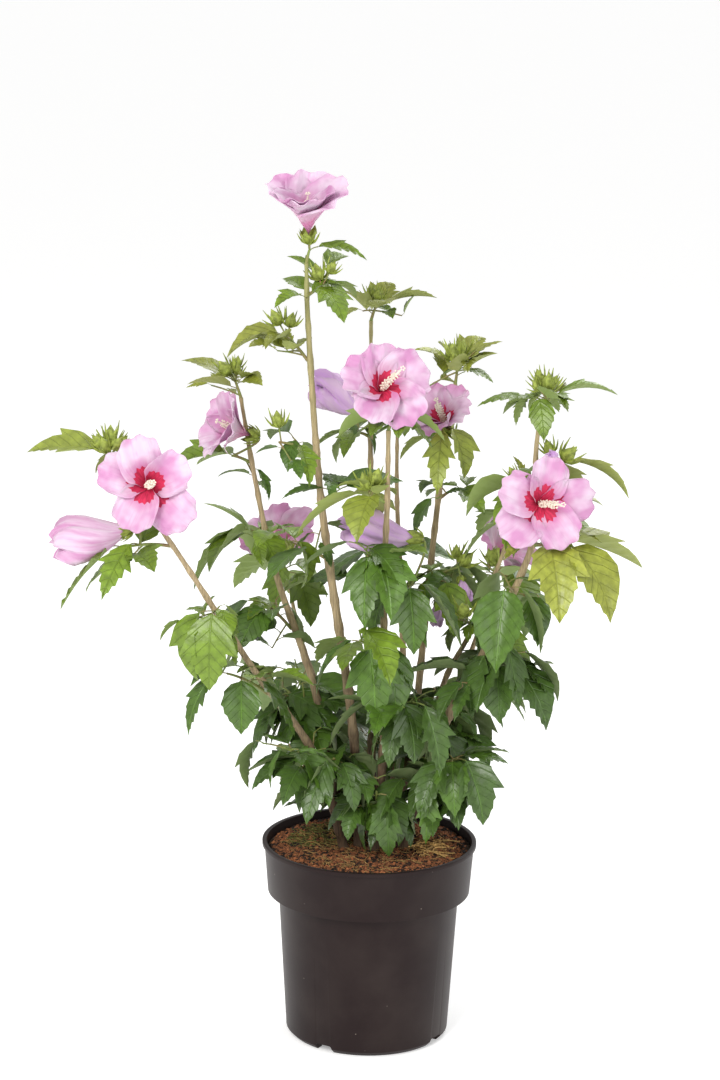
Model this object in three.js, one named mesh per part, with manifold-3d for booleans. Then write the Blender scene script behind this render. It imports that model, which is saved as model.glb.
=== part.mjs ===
// A flowering hibiscus shrub in its nursery pot, in millimetres, +Z up.
// The origin is the middle of the pot's underside, which stands on the ground. +X is the
// shrub's right and -Y its front.
//
// The plant is a clump: stems rise from the potting soil and fan out, a bough forks off one
// of them, and sprays grow from every limb. Each limb is one tapering solid. Each spray is
// one solid: a twig, its petioles, leaves and buds, and its bloom where it bears one. A
// bough or a spray starts CLEAR from the bark that carries it.
import * as THREE from "three";
import { mergeVertices } from "three/addons/utils/BufferGeometryUtils.js";
import Module from "manifold-3d";

const wasm = await Module();
wasm.setup();

// Pot, from the ground up.
const POT_HEIGHT = 214;
const RIM_R = 115;
const RIM_LIP = 2.4; // how far the rim stands out past the collar
const RIM_DEPTH = 4;
const COLLAR_R = 108.6; // lower edge of the collar
const LEDGE_Z = 159; // underside of the collar
const BODY_TOP_R = 97;
const BODY_BOTTOM_R = 87.5;
const FOOT_BEVEL = 5;
const FOOT_WIDTH = 8;
const WALL = 2.2;
const PAD_R = 44; // middle of the base, which touches the ground
const CHANNEL_HEIGHT = 9; // drainage channel between the pad and the foot ring
const CHANNEL_SLOPE = 4;
const NOTCHES = 4;
const FIRST_NOTCH = 58; // degrees round from +X
const NOTCH_WIDTH = 20;
const NOTCH_HEIGHT = 8;
const DRAIN_WIDTH = 10;
const DRAIN_LENGTH = 18;
const POT_SIDES = 32;

// Potting soil.
const CLEAR = 0.3; // gap between neighbouring solids
const SOIL_Z = 203;
const SOIL_FLAT_R = 56; // the level middle, where the stems stand
const SOIL_EDGE_DROP = 3;

// Limbs.
const LIMB_SIDES = 6;
const RINGS_PER_SPAN = 3;
const ROOT_FLARE = 0.35; // extra share of the radius at the soil
const FLARE_HEIGHT = 16;

// Sprays.
const TWIG_R = 1.6;
const TWIG_TIP_R = 1.2;
const TWIG_SIDES = 4;
const TWIG_RINGS = 2;
const TWIG_ARCH = 0.12; // of the reach
const PETIOLE_R = 0.9;
const PETIOLE_ROOT_R = 0.6; // where it is sunk in its twig
const FIRST_LEAF = 0.92; // share of the twig at which the first leaf is sunk
const LEAF_SPREAD = 0.62; // share of the twig over which the others follow
const GOLDEN_TURN = 137.5; // degrees between leaves round an upright twig
const LEAF_THICKNESS = 0.015; // of the leaf's length
const LEAF_FOLD = 12; // degrees that each half of a blade rises from the midrib
// One half of a blade: share of the length from its foot, and half width over the length.
const LEAF_OUTLINE = [
  [0.42, 0.37],
  [0.57, 0.2],
];
const LEAF_REST = 0.45; // along the blade, its thickest point

// How leaves and buds differ, each as a least and a greatest value.
const FAN = [39, 65]; // degrees between a level twig and its side leaves
const PETIOLE_SHARE = [0.14, 0.26]; // of the leaf's length
const PETIOLE_RISE = 22; // degrees, beside PETIOLE_FOLLOW of the leaf's own rise
const PETIOLE_FOLLOW = 0.3;
const SIDE_LENGTH = [0.72, 0.98]; // of the first leaf's length
const SIDE_RISE = [-22, 22]; // degrees from the first leaf's rise
const DROOP = [22, 46]; // degrees that a blade curves down
const ROLL = [-25, 25];
const WIDTH = [0.86, 1.14]; // of the common outline
const BUD_RISE = [42, 82];
const BUD_STALK = [6, 17];
const BUD_LENGTH = [13, 21];
const BUD_R = 0.28; // of its length
const BUD_BELLY = 0.42; // of its length
const BUD_SIDES = 3;

// Room that each leaf keeps, between the spots that stand for it and what is near.
const SPOTS = [
  [0.3, 0],
  [0.6, 0],
  [1, 0],
  [0.4, 0.26],
  [0.4, -0.26],
];
const LEAF_ROOM = 10; // to leaves of other sprays
const OWN_ROOM = 9; // to leaves of its own spray
const BARK_ROOM = 5;
const PETAL_ROOM = 8;
const POT_ROOM = 4;
const RIM_BAND = 12; // how far in from the rim's edge a leaf stays over the rim
const LOWEST_LEAF = 150;
const TURNS = [0, 24, -24, 48, -48, 72, -72]; // degrees tried, in order, until a leaf has room
const BARK_SPOTS = 60; // to a limb
const PETAL_SPOT_TURN = 24; // degrees
const HALVINGS = 30; // in the search for the share of a line at a height
const FIRST_SEED = 1000;
const SEED_STEP = 7919;

// Blooms.
const CALYX_LENGTH = 10; // behind the petals' feet
const STALK_R = 1.3;
const COLUMN_R = 2.4;
const COLUMN_SHARE = 0.62; // of a petal's length
const PETALS = 5;
const CUP_THICKNESS = 1.6;
const CUP_WAIST = 0.5; // share of the petals' length where the cup's solid has a ring
const PETAL_FOOT = 0.45; // share of the opening angle at a petal's foot
const PETAL_CURL = 0.8; // share that it gains toward its tip
const PETAL_SHOULDER = 21; // degrees from the middle of a petal
const PETAL_NOTCH = 0.8; // how far the petals reach where two meet, over their length
const FURLED_BELOW = 26; // a bloom less open than this is a closed spindle
const FURLED_SIDES = 7;
const FURLED_PROFILE = [
  [0.3, 0.12],
  [0.68, 0.24],
];

const COLOURS = {
  pot: 0x2b2a2d,
  soil: 0x8a4a2c,
  bark: 0xb09a7c,
  leaves: 0x3f7a2c,
};

// Limbs: a foot on the soil or a fork on another limb, then the points it passes, and its
// radius at the foot and at the tip.
const LIMBS = [
  { name: "tall_stem", foot: [-10, -4], radii: [5.6, 1.9],
    through: [[-20, -8, 345], [-47, -15, 525], [-60, -20, 632], [-71, -27, 780], [-73, -29, 838]] },
  { name: "front_stem", foot: [4, -16], radii: [5.2, 2.1],
    through: [[13, -25, 312], [14, -35, 386], [11, -45, 498], [13, -55, 598], [13, -60, 672]] },
  { name: "left_stem", foot: [-25, 9], radii: [4.6, 1.8],
    through: [[-60, 25, 370], [-104, 35, 499], [-128, 40, 606], [-142, 40, 686]] },
  { name: "outer_left_stem", foot: [-26, -12], radii: [4.8, 1.9],
    through: [[-58, -30, 314], [-125, -60, 420], [-194, -85, 536], [-220, -93, 576]] },
  { name: "right_stem", foot: [22, 10], radii: [4.8, 1.8],
    through: [[45, 35, 315], [60, 47, 490], [75, 55, 644], [84, 55, 702]] },
  { name: "outer_right_stem", foot: [34, -6], radii: [5.4, 1.8],
    through: [[78, -20, 349], [125, -35, 450], [166, -46, 560], [165, -45, 645], [169, -45, 692]] },
  { name: "back_stem", foot: [2, 16], radii: [4.8, 1.8],
    through: [[1, 45, 350], [-1, 70, 506], [-5, 80, 640], [-6, 80, 764]] },
  { name: "back_right_stem", foot: [20, 34], radii: [4.4, 1.7],
    through: [[34, 72, 350], [31, 102, 460], [25, 110, 566], [24, 110, 640]] },
  { name: "back_left_stem", foot: [-17, 30], radii: [4.4, 1.7],
    through: [[-50, 85, 330], [-78, 128, 400], [-92, 152, 456]] },
  { name: "far_right_stem", foot: [38, 22], radii: [4.4, 1.7],
    through: [[78, 68, 325], [112, 105, 405], [128, 124, 458]] },
  { name: "right_bough", fork: "outer_right_stem", at: 262, toward: 70, radii: [3.4, 1.6],
    through: [[74, 12, 376], [104, 18, 440], [131, 18, 510], [146, 16, 556]] },
];

// Sprays: the limb, the height on it where the twig starts (null at the limb's tip), the way
// the twig points (degrees round from +X), its reach and rise, how many leaves it bears, the
// length of the first leaf, how far below level that one hangs, and the number of buds.
const SPRAYS = [
  // The tall stem, from its tip down.
  ["tall_tip", "tall_stem", null, 352, 14, 78, 1, 54, -8, 0],
  ["tall_upper_right", "tall_stem", 806, 352, 16, 30, 4, 64, 20, 2],
  ["tall_upper_left", "tall_stem", 738, 182, 34, 48, 3, 62, 2, 2],
  ["tall_middle_left", "tall_stem", 640, 186, 38, 18, 4, 72, 22, 1],
  ["tall_middle_right", "tall_stem", 590, 20, 12, 25, 3, 64, -14, 0],
  ["tall_low_left", "tall_stem", 528, 176, 22, 20, 4, 72, 14, 0],
  ["tall_foot", "tall_stem", 272, 238, 62, 48, 7, 72, 40, 0],
  // The front stem.
  ["front_tip", "front_stem", null, 330, 20, 66, 5, 54, 14, 5],
  ["front_upper", "front_stem", 596, 188, 16, 20, 3, 76, 18, 2],
  ["front_middle_left", "front_stem", 536, 200, 18, 10, 4, 82, 40, 0],
  ["front_middle_right", "front_stem", 500, 340, 30, 18, 5, 78, 46, 0],
  ["front_low_left", "front_stem", 424, 226, 44, 40, 6, 84, 54, 0],
  ["front_low_right", "front_stem", 352, 310, 54, 40, 7, 78, 54, 0],
  ["front_foot", "front_stem", 246, 268, 50, 52, 8, 62, 40, 0],
  // The left stem.
  ["left_tip", "left_stem", null, 165, 18, 70, 4, 54, -18, 4],
  ["left_upper", "left_stem", 618, 186, 20, 20, 3, 60, -2, 0],
  ["left_middle", "left_stem", 540, 188, 10, 20, 5, 84, 34, 0],
  ["left_low", "left_stem", 440, 192, 44, 44, 7, 72, 34, 0],
  ["left_foot", "left_stem", 330, 150, 64, 40, 8, 74, 42, 0],
  // The outer left stem.
  ["outer_left_tip", "outer_left_stem", null, 178, 92, 56, 3, 72, -10, 6],
  ["outer_left_under", "outer_left_stem", 556, 198, 52, 0, 2, 84, 36, 0],
  ["outer_left_middle", "outer_left_stem", 478, 262, 22, 30, 6, 82, 60, 0],
  ["outer_left_low", "outer_left_stem", 392, 204, 52, 30, 7, 74, 44, 0],
  ["outer_left_foot", "outer_left_stem", 300, 216, 54, 38, 7, 70, 40, 0],
  // The right stem.
  ["right_tip", "right_stem", null, 60, 16, 76, 6, 56, -30, 5],
  ["right_upper", "right_stem", 650, 262, 24, 20, 2, 76, 40, 0],
  ["right_middle", "right_stem", 580, 356, 14, 34, 4, 58, -10, 0],
  ["right_low", "right_stem", 490, 330, 38, 30, 7, 74, 34, 2],
  ["right_foot", "right_stem", 310, 24, 66, 40, 8, 74, 46, 0],
  // The outer right stem.
  ["outer_right_tip", "outer_right_stem", null, 6, 14, 66, 5, 66, 0, 5],
  ["outer_right_upper", "outer_right_stem", 622, 8, 22, 30, 4, 76, 8, 2],
  ["outer_right_inner", "outer_right_stem", 604, 172, 12, 24, 4, 64, 6, 1],
  ["outer_right_under", "outer_right_stem", 552, 322, 30, 0, 3, 92, 30, 0],
  ["outer_right_middle", "outer_right_stem", 500, 256, 28, 24, 5, 86, 58, 0],
  ["outer_right_low", "outer_right_stem", 410, 336, 52, 30, 8, 80, 50, 0],
  ["outer_right_foot", "outer_right_stem", 290, 310, 56, 36, 8, 72, 48, 0],
  // The right bough.
  ["bough_tip", "right_bough", null, 344, 12, 60, 6, 80, 24, 4],
  ["bough_low", "right_bough", 446, 256, 36, 24, 6, 90, 56, 1],
  // The stems behind.
  ["back_tip", "back_stem", null, 10, 14, 72, 5, 56, -14, 3],
  ["back_upper", "back_stem", 640, 200, 14, 20, 3, 58, 10, 0],
  ["back_middle", "back_stem", 490, 80, 40, 36, 8, 76, 30, 0],
  ["back_foot", "back_stem", 262, 96, 62, 40, 8, 74, 38, 0],
  ["back_right_tip", "back_right_stem", null, 60, 26, 60, 6, 70, 20, 3],
  ["back_left_tip", "back_left_stem", null, 120, 26, 60, 6, 70, 20, 3],
  ["back_left_low", "back_left_stem", 340, 150, 56, 36, 8, 78, 42, 0],
  ["far_right_tip", "far_right_stem", null, 40, 26, 60, 6, 70, 20, 3],
  ["far_right_low", "far_right_stem", 336, 60, 56, 36, 8, 78, 42, 0],
];

// Blooms, by the spray that bears them: the share of the twig where the stalk starts, where
// the petals meet, the way the bloom faces (degrees round from +X and above level), the
// petals' length, and how far they open (degrees).
const BLOOMS = {
  tall_tip: { from: 0.92, seat: [-71, -34, 868], faces: [262, 66], petal: 58, open: 58 },
  front_tip: { from: 0.92, seat: [3, -62, 712], faces: [286, 28], petal: 54, open: 72 },
  right_upper: { from: 0.92, seat: [76, 38, 658], faces: [232, 52], petal: 50, open: 60 },
  outer_left_tip: { from: 0.1, seat: [-229, -104, 620], faces: [272, 12], petal: 57, open: 72 },
  left_upper: { from: 0.92, seat: [-131, 22, 650], faces: [206, 20], petal: 56, open: 44 },
  outer_right_under: { from: 0.92, seat: [166, -68, 600], faces: [284, 8], petal: 58, open: 74 },
  outer_left_under: { from: 0.6, seat: [-254, -106, 574], faces: [190, -12], petal: 70, open: 17 },
  back_upper: { from: 0.92, seat: [-14, 66, 668], faces: [190, 32], petal: 58, open: 24 },
  front_middle_right: { from: 0.92, seat: [42, -10, 548], faces: [176, 8], petal: 70, open: 30 },
  back_left_tip: { from: 0.92, seat: [-96, 170, 494], faces: [112, 30], petal: 54, open: 66 },
  far_right_tip: { from: 0.92, seat: [134, 136, 496], faces: [48, 28], petal: 52, open: 60 },
};

const UP = new THREE.Vector3(0, 0, 1);
const rad = THREE.MathUtils.degToRad;

function level(toward) {
  return new THREE.Vector3(Math.cos(rad(toward)), Math.sin(rad(toward)), 0);
}

function pointing(toward, rise) {
  return level(toward).multiplyScalar(Math.cos(rad(rise))).setZ(Math.sin(rad(rise)));
}

// `from` moved by `reach` along `way`.
function moved(from, way, reach) {
  return from.clone().addScaledVector(way, reach);
}

// The part of `way` that stands square to `axis`, at unit length.
function squareTo(axis, way) {
  return moved(way, axis, -way.dot(axis)).normalize();
}

function between([least, greatest], share) {
  return least + (greatest - least) * share;
}

// A repeatable stream of numbers from 0 up to 1.
function diceFor(index) {
  let state = FIRST_SEED + index * SEED_STEP;
  return () => {
    state = (state * 1664525 + 1013904223) % 4294967296;
    return state / 4294967296;
  };
}

// --- The rule: where limbs, twigs, leaves, buds and blooms lie -----------------------------

// Where a limb starts, and the way its flat foot faces.
function limbStart(row, limbs) {
  if (row.foot) {
    return { start: new THREE.Vector3(...row.foot, SOIL_Z + CLEAR), face: UP };
  }
  const parent = limbs.get(row.fork);
  const share = shareAt(parent.line, row.at);
  const face = squareTo(parent.line.getTangent(share), level(row.toward));
  return { start: moved(parent.line.getPoint(share), face, parent.radiusAt(share) + CLEAR), face };
}

// A limb's line: straight between its rings, which lie on a smooth curve through its points.
class LimbLine extends THREE.Curve {
  constructor(points, rings) {
    super();
    const curve = new THREE.CatmullRomCurve3(points, false, "catmullrom", 0.5);
    this.corners = curve.getPoints(rings);
  }

  getPoint(share) {
    const place = share * (this.corners.length - 1);
    const before = Math.min(Math.floor(place), this.corners.length - 2);
    return this.corners[before].clone().lerp(this.corners[before + 1], place - before);
  }
}

function makeLimb(row, limbs) {
  const { start, face } = limbStart(row, limbs);
  const points = [start, ...row.through.map((point) => new THREE.Vector3(...point))];
  const rings = row.through.length * RINGS_PER_SPAN;
  const [footR, tipR] = row.radii;
  const radiusAt = (share) => footR + (tipR - footR) * share;
  const line = new LimbLine(points, rings);
  return { name: row.name, line, rings, face, radiusAt, rooted: Boolean(row.foot) };
}

// The share of a limb's line at which it passes a height.
function shareAt(line, height) {
  let low = 0;
  let high = 1;
  for (let step = 0; step < HALVINGS; step += 1) {
    const middle = (low + high) / 2;
    if (line.getPoint(middle).z < height) {
      low = middle;
    } else {
      high = middle;
    }
  }
  return (low + high) / 2;
}

// How far out and up an arc ends that sets off `rise` degrees above level and turns by `turn`.
function arcEnd(rise, turn, length) {
  const from = rad(rise);
  const to = rad(rise + turn);
  const radius = length / (to - from);
  return [radius * (Math.sin(to) - Math.sin(from)), radius * (Math.cos(from) - Math.cos(to))];
}

// A point of a leaf: `along` and `aside` are shares of its length, `lift` is a height over
// its face.
function leafPoint(leaf, along, aside, lift) {
  const turn = leaf.bend * along;
  const [out, up] = arcEnd(leaf.rise, turn, leaf.length * along);
  const lean = rad(leaf.rise + turn);
  const roll = rad(leaf.roll);
  const fold = rad(LEAF_FOLD);
  const flat = moved(UP.clone().multiplyScalar(Math.cos(lean)), leaf.out, -Math.sin(lean));
  const side = moved(leaf.side.clone().multiplyScalar(Math.cos(roll)), flat, Math.sin(roll));
  const normal = moved(flat.clone().multiplyScalar(Math.cos(roll)), leaf.side, -Math.sin(roll));
  const across = aside * leaf.length * leaf.wide;
  return moved(moved(leaf.foot, leaf.out, out), UP, up)
    .addScaledVector(side, across * Math.cos(fold))
    .addScaledVector(normal, Math.abs(across) * Math.sin(fold) + lift);
}

// A point of a bloom's cup: `angle` goes round its axis in degrees, `along` is a share of
// the petals' length, `lift` is a distance toward the inside.
function cupPoint(bloom, angle, along, lift) {
  const [toward, rise] = bloom.faces;
  const axis = pointing(toward, rise);
  const right = level(toward + 90);
  const top = axis.clone().cross(right);
  const outward = moved(right.multiplyScalar(Math.cos(rad(angle))), top, Math.sin(rad(angle)));
  const start = 90 - bloom.open * PETAL_FOOT;
  const bend = -bloom.open * PETAL_CURL * along;
  const [out, up] = arcEnd(start, bend, bloom.petal * along);
  const lean = rad(start + bend);
  return moved(moved(new THREE.Vector3(...bloom.seat), outward, out), axis, up)
    .addScaledVector(axis, lift * Math.cos(lean))
    .addScaledVector(outward, -lift * Math.sin(lean));
}

function twigOf(row, limb) {
  const [, , height, toward, reach, rise] = row;
  const upright = height === null;
  const share = upright ? 1 : shareAt(limb.line, height);
  const axis = limb.line.getTangent(share);
  const face = upright ? axis : squareTo(axis, level(toward));
  const gap = upright ? CLEAR : limb.radiusAt(share) + CLEAR;
  const root = moved(limb.line.getPoint(share), face, gap);
  const way = pointing(toward, rise);
  const tip = moved(root, way, reach);
  const middle = moved(root, way, reach / 2);
  middle.addScaledVector(upright ? axis : UP, reach * TWIG_ARCH);
  return { line: new THREE.QuadraticBezierCurve3(root, middle, tip), face, upright };
}

// One leaf of a spray before its heading is settled. Leaves alternate along a level twig
// and wind round an upright one.
function leafDraft(row, twig, number, dice) {
  const [, , , toward, , , leaves, longest, hang] = row;
  const [fan, size, tilt, droop, roll, width, petiole] = Array.from({ length: 7 }, dice);
  const pair = Math.ceil(number / 2);
  const side = number % 2 ? 1 : -1;
  const levelTurn = (side * between(FAN, fan) * Math.min(number, 1) * (pair + 1)) / 2;
  const turn = twig.upright ? number * GOLDEN_TURN : levelTurn;
  const length = longest * (number ? between(SIDE_LENGTH, size) : 1);
  return {
    stem: twig.line.getPoint(FIRST_LEAF - (LEAF_SPREAD * number) / leaves),
    heading: toward + turn,
    petiole: length * between(PETIOLE_SHARE, petiole),
    rise: -hang + (number ? between(SIDE_RISE, tilt) : 0),
    bend: -between(DROOP, droop),
    roll: between(ROLL, roll),
    length,
    wide: between(WIDTH, width),
  };
}

function turnedLeaf(draft, turn) {
  const heading = draft.heading + turn;
  const out = level(heading);
  const rise = PETIOLE_RISE + draft.rise * PETIOLE_FOLLOW;
  const foot = moved(draft.stem, pointing(heading, rise), draft.petiole);
  return { ...draft, foot, out, side: level(heading + 90) };
}

function clearOf(spots, others, room) {
  return spots.every((spot) => others.every((other) => spot.distanceTo(other) > room));
}

function clearOfPot(spot) {
  const fromAxis = Math.hypot(spot.x, spot.y);
  const ground = fromAxis > RIM_R - RIM_BAND ? POT_HEIGHT : SOIL_Z;
  return spot.z > LOWEST_LEAF && (fromAxis > RIM_R + POT_ROOM || spot.z > ground + POT_ROOM);
}

function hasRoom(spots, spray, near) {
  return (
    spots.every(clearOfPot) &&
    near.bark.every(({ at, radius }) => clearOf(spots, [at], radius + BARK_ROOM)) &&
    clearOf(spots, near.petals, PETAL_ROOM) &&
    near.leaves.every((other) => clearOf(spots, other.spots, other.spray === spray ? OWN_ROOM : LEAF_ROOM))
  );
}

function planSpray(row, spray, limbs, near) {
  const [name, limbName, , toward, , , leafCount, , , budCount] = row;
  const dice = diceFor(spray);
  const twig = twigOf(row, limbs.get(limbName));
  const leaves = [];
  for (let number = 0; number < leafCount; number += 1) {
    const draft = leafDraft(row, twig, number, dice);
    for (const turn of TURNS) {
      const leaf = turnedLeaf(draft, turn);
      const spots = SPOTS.map(([along, aside]) => leafPoint(leaf, along, aside, 0));
      if (hasRoom(spots, spray, near)) {
        leaves.push(leaf);
        near.leaves.push({ spots, spray });
        break;
      }
    }
  }
  const buds = [];
  for (let number = 0; number < budCount; number += 1) {
    const heading = toward + number * GOLDEN_TURN;
    const rise = between(BUD_RISE, dice());
    const stem = twig.line.getPoint(FIRST_LEAF);
    const foot = moved(stem, pointing(heading, rise), between(BUD_STALK, dice()));
    buds.push({ stem, foot, length: between(BUD_LENGTH, dice()) });
  }
  return { name, twig, leaves, buds, bloom: BLOOMS[name] };
}

function planPlant() {
  const limbs = new Map();
  for (const row of LIMBS) {
    limbs.set(row.name, makeLimb(row, limbs));
  }
  const near = { bark: [], petals: [], leaves: [] };
  for (const limb of limbs.values()) {
    for (let spot = 0; spot <= BARK_SPOTS; spot += 1) {
      const share = spot / BARK_SPOTS;
      near.bark.push({ at: limb.line.getPoint(share), radius: limb.radiusAt(share) });
    }
  }
  for (const bloom of Object.values(BLOOMS)) {
    for (let angle = 0; angle < 360; angle += PETAL_SPOT_TURN) {
      near.petals.push(cupPoint(bloom, angle, 0.6, 0), cupPoint(bloom, angle, 1, 0));
    }
  }
  const sprays = SPRAYS.map((row, spray) => planSpray(row, spray, limbs, near));
  return { limbs: [...limbs.values()], sprays };
}

// --- Solids ----------------------------------------------------------------------------------

// A closed geometry as a solid, with its shared corners merged.
function solidOf(geometry) {
  geometry.deleteAttribute("normal");
  geometry.deleteAttribute("uv");
  const merged = mergeVertices(geometry, 1e-4);
  const corners = merged.index.array;
  const faces = [];
  for (let corner = 0; corner < corners.length; corner += 3) {
    const [a, b, c] = corners.slice(corner, corner + 3);
    if (a !== b && b !== c && c !== a) {
      faces.push(a, b, c);
    }
  }
  const vertProperties = new Float32Array(merged.attributes.position.array);
  return new wasm.Manifold(new wasm.Mesh({ numProp: 3, vertProperties, triVerts: new Uint32Array(faces) }));
}

function geometryOf(solid) {
  const mesh = solid.getMesh();
  const geometry = new THREE.BufferGeometry();
  geometry.setAttribute("position", new THREE.BufferAttribute(new Float32Array(mesh.vertProperties), 3));
  geometry.setIndex(new THREE.BufferAttribute(new Uint32Array(mesh.triVerts), 1));
  geometry.computeVertexNormals();
  return geometry;
}

function facedSolid(points, faces) {
  const geometry = new THREE.BufferGeometry();
  const places = points.flatMap((point) => point.toArray());
  geometry.setAttribute("position", new THREE.Float32BufferAttribute(places, 3));
  geometry.setIndex(faces.flat());
  return solidOf(geometry);
}

// A tube along `line`. `face` is the normal of its first end, which is cut flat; `hint` is any
// way that the line never takes.
function tube(line, radiusAt, sides, rings, face, hint) {
  const points = [];
  const start = line.getPoint(0);
  for (let ring = 0; ring <= rings; ring += 1) {
    const share = ring / rings;
    const centre = line.getPoint(share);
    const axis = line.getTangent(share);
    const first = squareTo(axis, hint);
    const second = axis.clone().cross(first);
    for (let corner = 0; corner < sides; corner += 1) {
      const angle = (corner / sides) * Math.PI * 2;
      const way = moved(first.clone().multiplyScalar(Math.cos(angle)), second, Math.sin(angle));
      const point = moved(centre, way, radiusAt(share));
      if (ring === 0) {
        point.addScaledVector(axis, start.clone().sub(point).dot(face) / axis.dot(face));
      }
      points.push(point);
    }
  }
  const faces = [];
  const last = rings * sides;
  for (let corner = 1; corner < sides - 1; corner += 1) {
    faces.push([0, corner + 1, corner], [last, last + corner, last + corner + 1]);
  }
  for (let ring = 0; ring < last; ring += sides) {
    for (let corner = 0; corner < sides; corner += 1) {
      const next = (corner + 1) % sides;
      faces.push([ring + corner, ring + next, ring + sides + next]);
      faces.push([ring + corner, ring + sides + next, ring + sides + corner]);
    }
  }
  return facedSolid(points, faces);
}

// A leaf with its petiole. The blade is a rim round one raised point above and one below.
// The petiole is a prism whose end makes the middle of the rim's back edge.
function leafSolid(leaf) {
  const lift = (leaf.length * LEAF_THICKNESS) / 2;
  const way = leaf.foot.clone().sub(leaf.stem).normalize();
  const down = squareTo(way, leaf.side).cross(way);
  const corners = [150, 30, -90].map((angle) =>
    moved(leaf.side.clone().multiplyScalar(Math.cos(rad(angle))), down, -Math.sin(rad(angle))),
  );
  const root = corners.map((corner) => moved(leaf.stem, corner, PETIOLE_ROOT_R));
  const [right, left, under] = corners.map((corner) => moved(leaf.foot, corner, PETIOLE_R));
  const rightRim = LEAF_OUTLINE.map(([along, aside]) => leafPoint(leaf, along, -aside, 0));
  const leftRim = LEAF_OUTLINE.map(([along, aside]) => leafPoint(leaf, along, aside, 0)).reverse();
  const rim = [right, ...rightRim, leafPoint(leaf, 1, 0, 0), ...leftRim, left];
  const over = leafPoint(leaf, LEAF_REST, 0, lift);
  const below = leafPoint(leaf, LEAF_REST, 0, -lift);
  const points = [...rim, over, below, under, ...root];
  const last = rim.length - 1;
  const [top, bottom, keel, rootRight, rootLeft, rootKeel] = points.keys().drop(rim.length);
  const faces = [
    [top, last, 0],
    [bottom, 0, keel],
    [bottom, keel, last],
    [rootRight, rootLeft, rootKeel],
    [0, last, rootLeft],
    [0, rootLeft, rootRight],
    [last, keel, rootKeel],
    [last, rootKeel, rootLeft],
    [keel, 0, rootRight],
    [keel, rootRight, rootKeel],
  ];
  for (let corner = 0; corner < last; corner += 1) {
    faces.push([top, corner, corner + 1], [bottom, corner + 1, corner]);
  }
  return facedSolid(points, faces);
}

// A spindle on an axis: `profile` holds its widths, as shares of the length along it.
function spindle(foot, way, length, profile, sides) {
  const hint = Math.abs(way.z) > 0.7 ? new THREE.Vector3(1, 0, 0) : UP;
  const first = squareTo(way, hint);
  const second = way.clone().cross(first);
  const points = [foot.clone()];
  for (const [along, radius] of profile) {
    for (let corner = 0; corner < sides; corner += 1) {
      const angle = (corner / sides) * Math.PI * 2;
      const out = moved(first.clone().multiplyScalar(Math.cos(angle)), second, Math.sin(angle));
      points.push(moved(moved(foot, way, along * length), out, radius * length));
    }
  }
  points.push(moved(foot, way, length));
  const faces = [];
  const tip = points.length - 1;
  const last = tip - sides;
  for (let corner = 0; corner < sides; corner += 1) {
    const next = (corner + 1) % sides;
    faces.push([0, 1 + next, 1 + corner], [tip, last + corner, last + next]);
    for (let ring = 1; ring < last; ring += sides) {
      faces.push([ring + corner, ring + next, ring + sides + next]);
      faces.push([ring + corner, ring + sides + next, ring + sides + corner]);
    }
  }
  return facedSolid(points, faces);
}

// A bud on its stalk, as one tapering spindle that starts inside the twig.
function budSolid(bud) {
  const way = bud.foot.clone().sub(bud.stem);
  const stalk = way.length();
  const length = stalk + bud.length;
  const profile = [
    [0.1, PETIOLE_R / length],
    [stalk / length, PETIOLE_R / length],
    [(stalk + bud.length * BUD_BELLY) / length, (bud.length * BUD_R) / length],
  ];
  return spindle(bud.stem, way.normalize(), length, profile, BUD_SIDES);
}

// An open bloom as one thin cup with a lobed rim, that narrows to a point at the calyx's foot
// and has the pollen column standing in it.
function cupSolid(bloom) {
  const axis = pointing(...bloom.faces);
  const seat = new THREE.Vector3(...bloom.seat);
  const inner = [];
  const outer = [];
  const rim = [];
  const column = [];
  for (let petal = 0; petal < PETALS; petal += 1) {
    const middle = (petal * 360) / PETALS;
    const stations = [
      [middle - PETAL_SHOULDER, 1],
      [middle + PETAL_SHOULDER, 1],
      [middle + 180 / PETALS, PETAL_NOTCH],
    ];
    for (const [angle, reach] of stations) {
      inner.push(cupPoint(bloom, angle, reach * CUP_WAIST, CUP_THICKNESS / 2));
      outer.push(cupPoint(bloom, angle, reach * CUP_WAIST, -CUP_THICKNESS / 2));
      rim.push(cupPoint(bloom, angle, reach, 0));
    }
    column.push(moved(cupPoint({ ...bloom, open: 180 }, middle, COLUMN_R / bloom.petal, 0), axis, 2));
  }
  const count = rim.length;
  const points = [...inner, ...outer, ...rim, ...column];
  const tip = points.push(moved(seat, axis, bloom.petal * COLUMN_SHARE)) - 1;
  const foot = points.push(moved(seat, axis, -CALYX_LENGTH)) - 1;
  const faces = [];
  for (let corner = 0; corner < count; corner += 1) {
    const next = (corner + 1) % count;
    const [outerHere, outerNext] = [count + corner, count + next];
    const [rimHere, rimNext] = [2 * count + corner, 2 * count + next];
    const columnHere = 3 * count + Math.floor(corner / 3);
    faces.push([foot, outerNext, outerHere], [columnHere, corner, next]);
    faces.push([corner, rimHere, rimNext], [corner, rimNext, next]);
    faces.push([outerHere, rimNext, rimHere], [outerHere, outerNext, rimNext]);
    if (corner % 3 === 2) {
      const columnNext = 3 * count + (Math.ceil(corner / 3) % PETALS);
      faces.push([columnHere, next, columnNext], [tip, columnHere, columnNext]);
    }
  }
  return facedSolid(points, faces);
}

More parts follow.
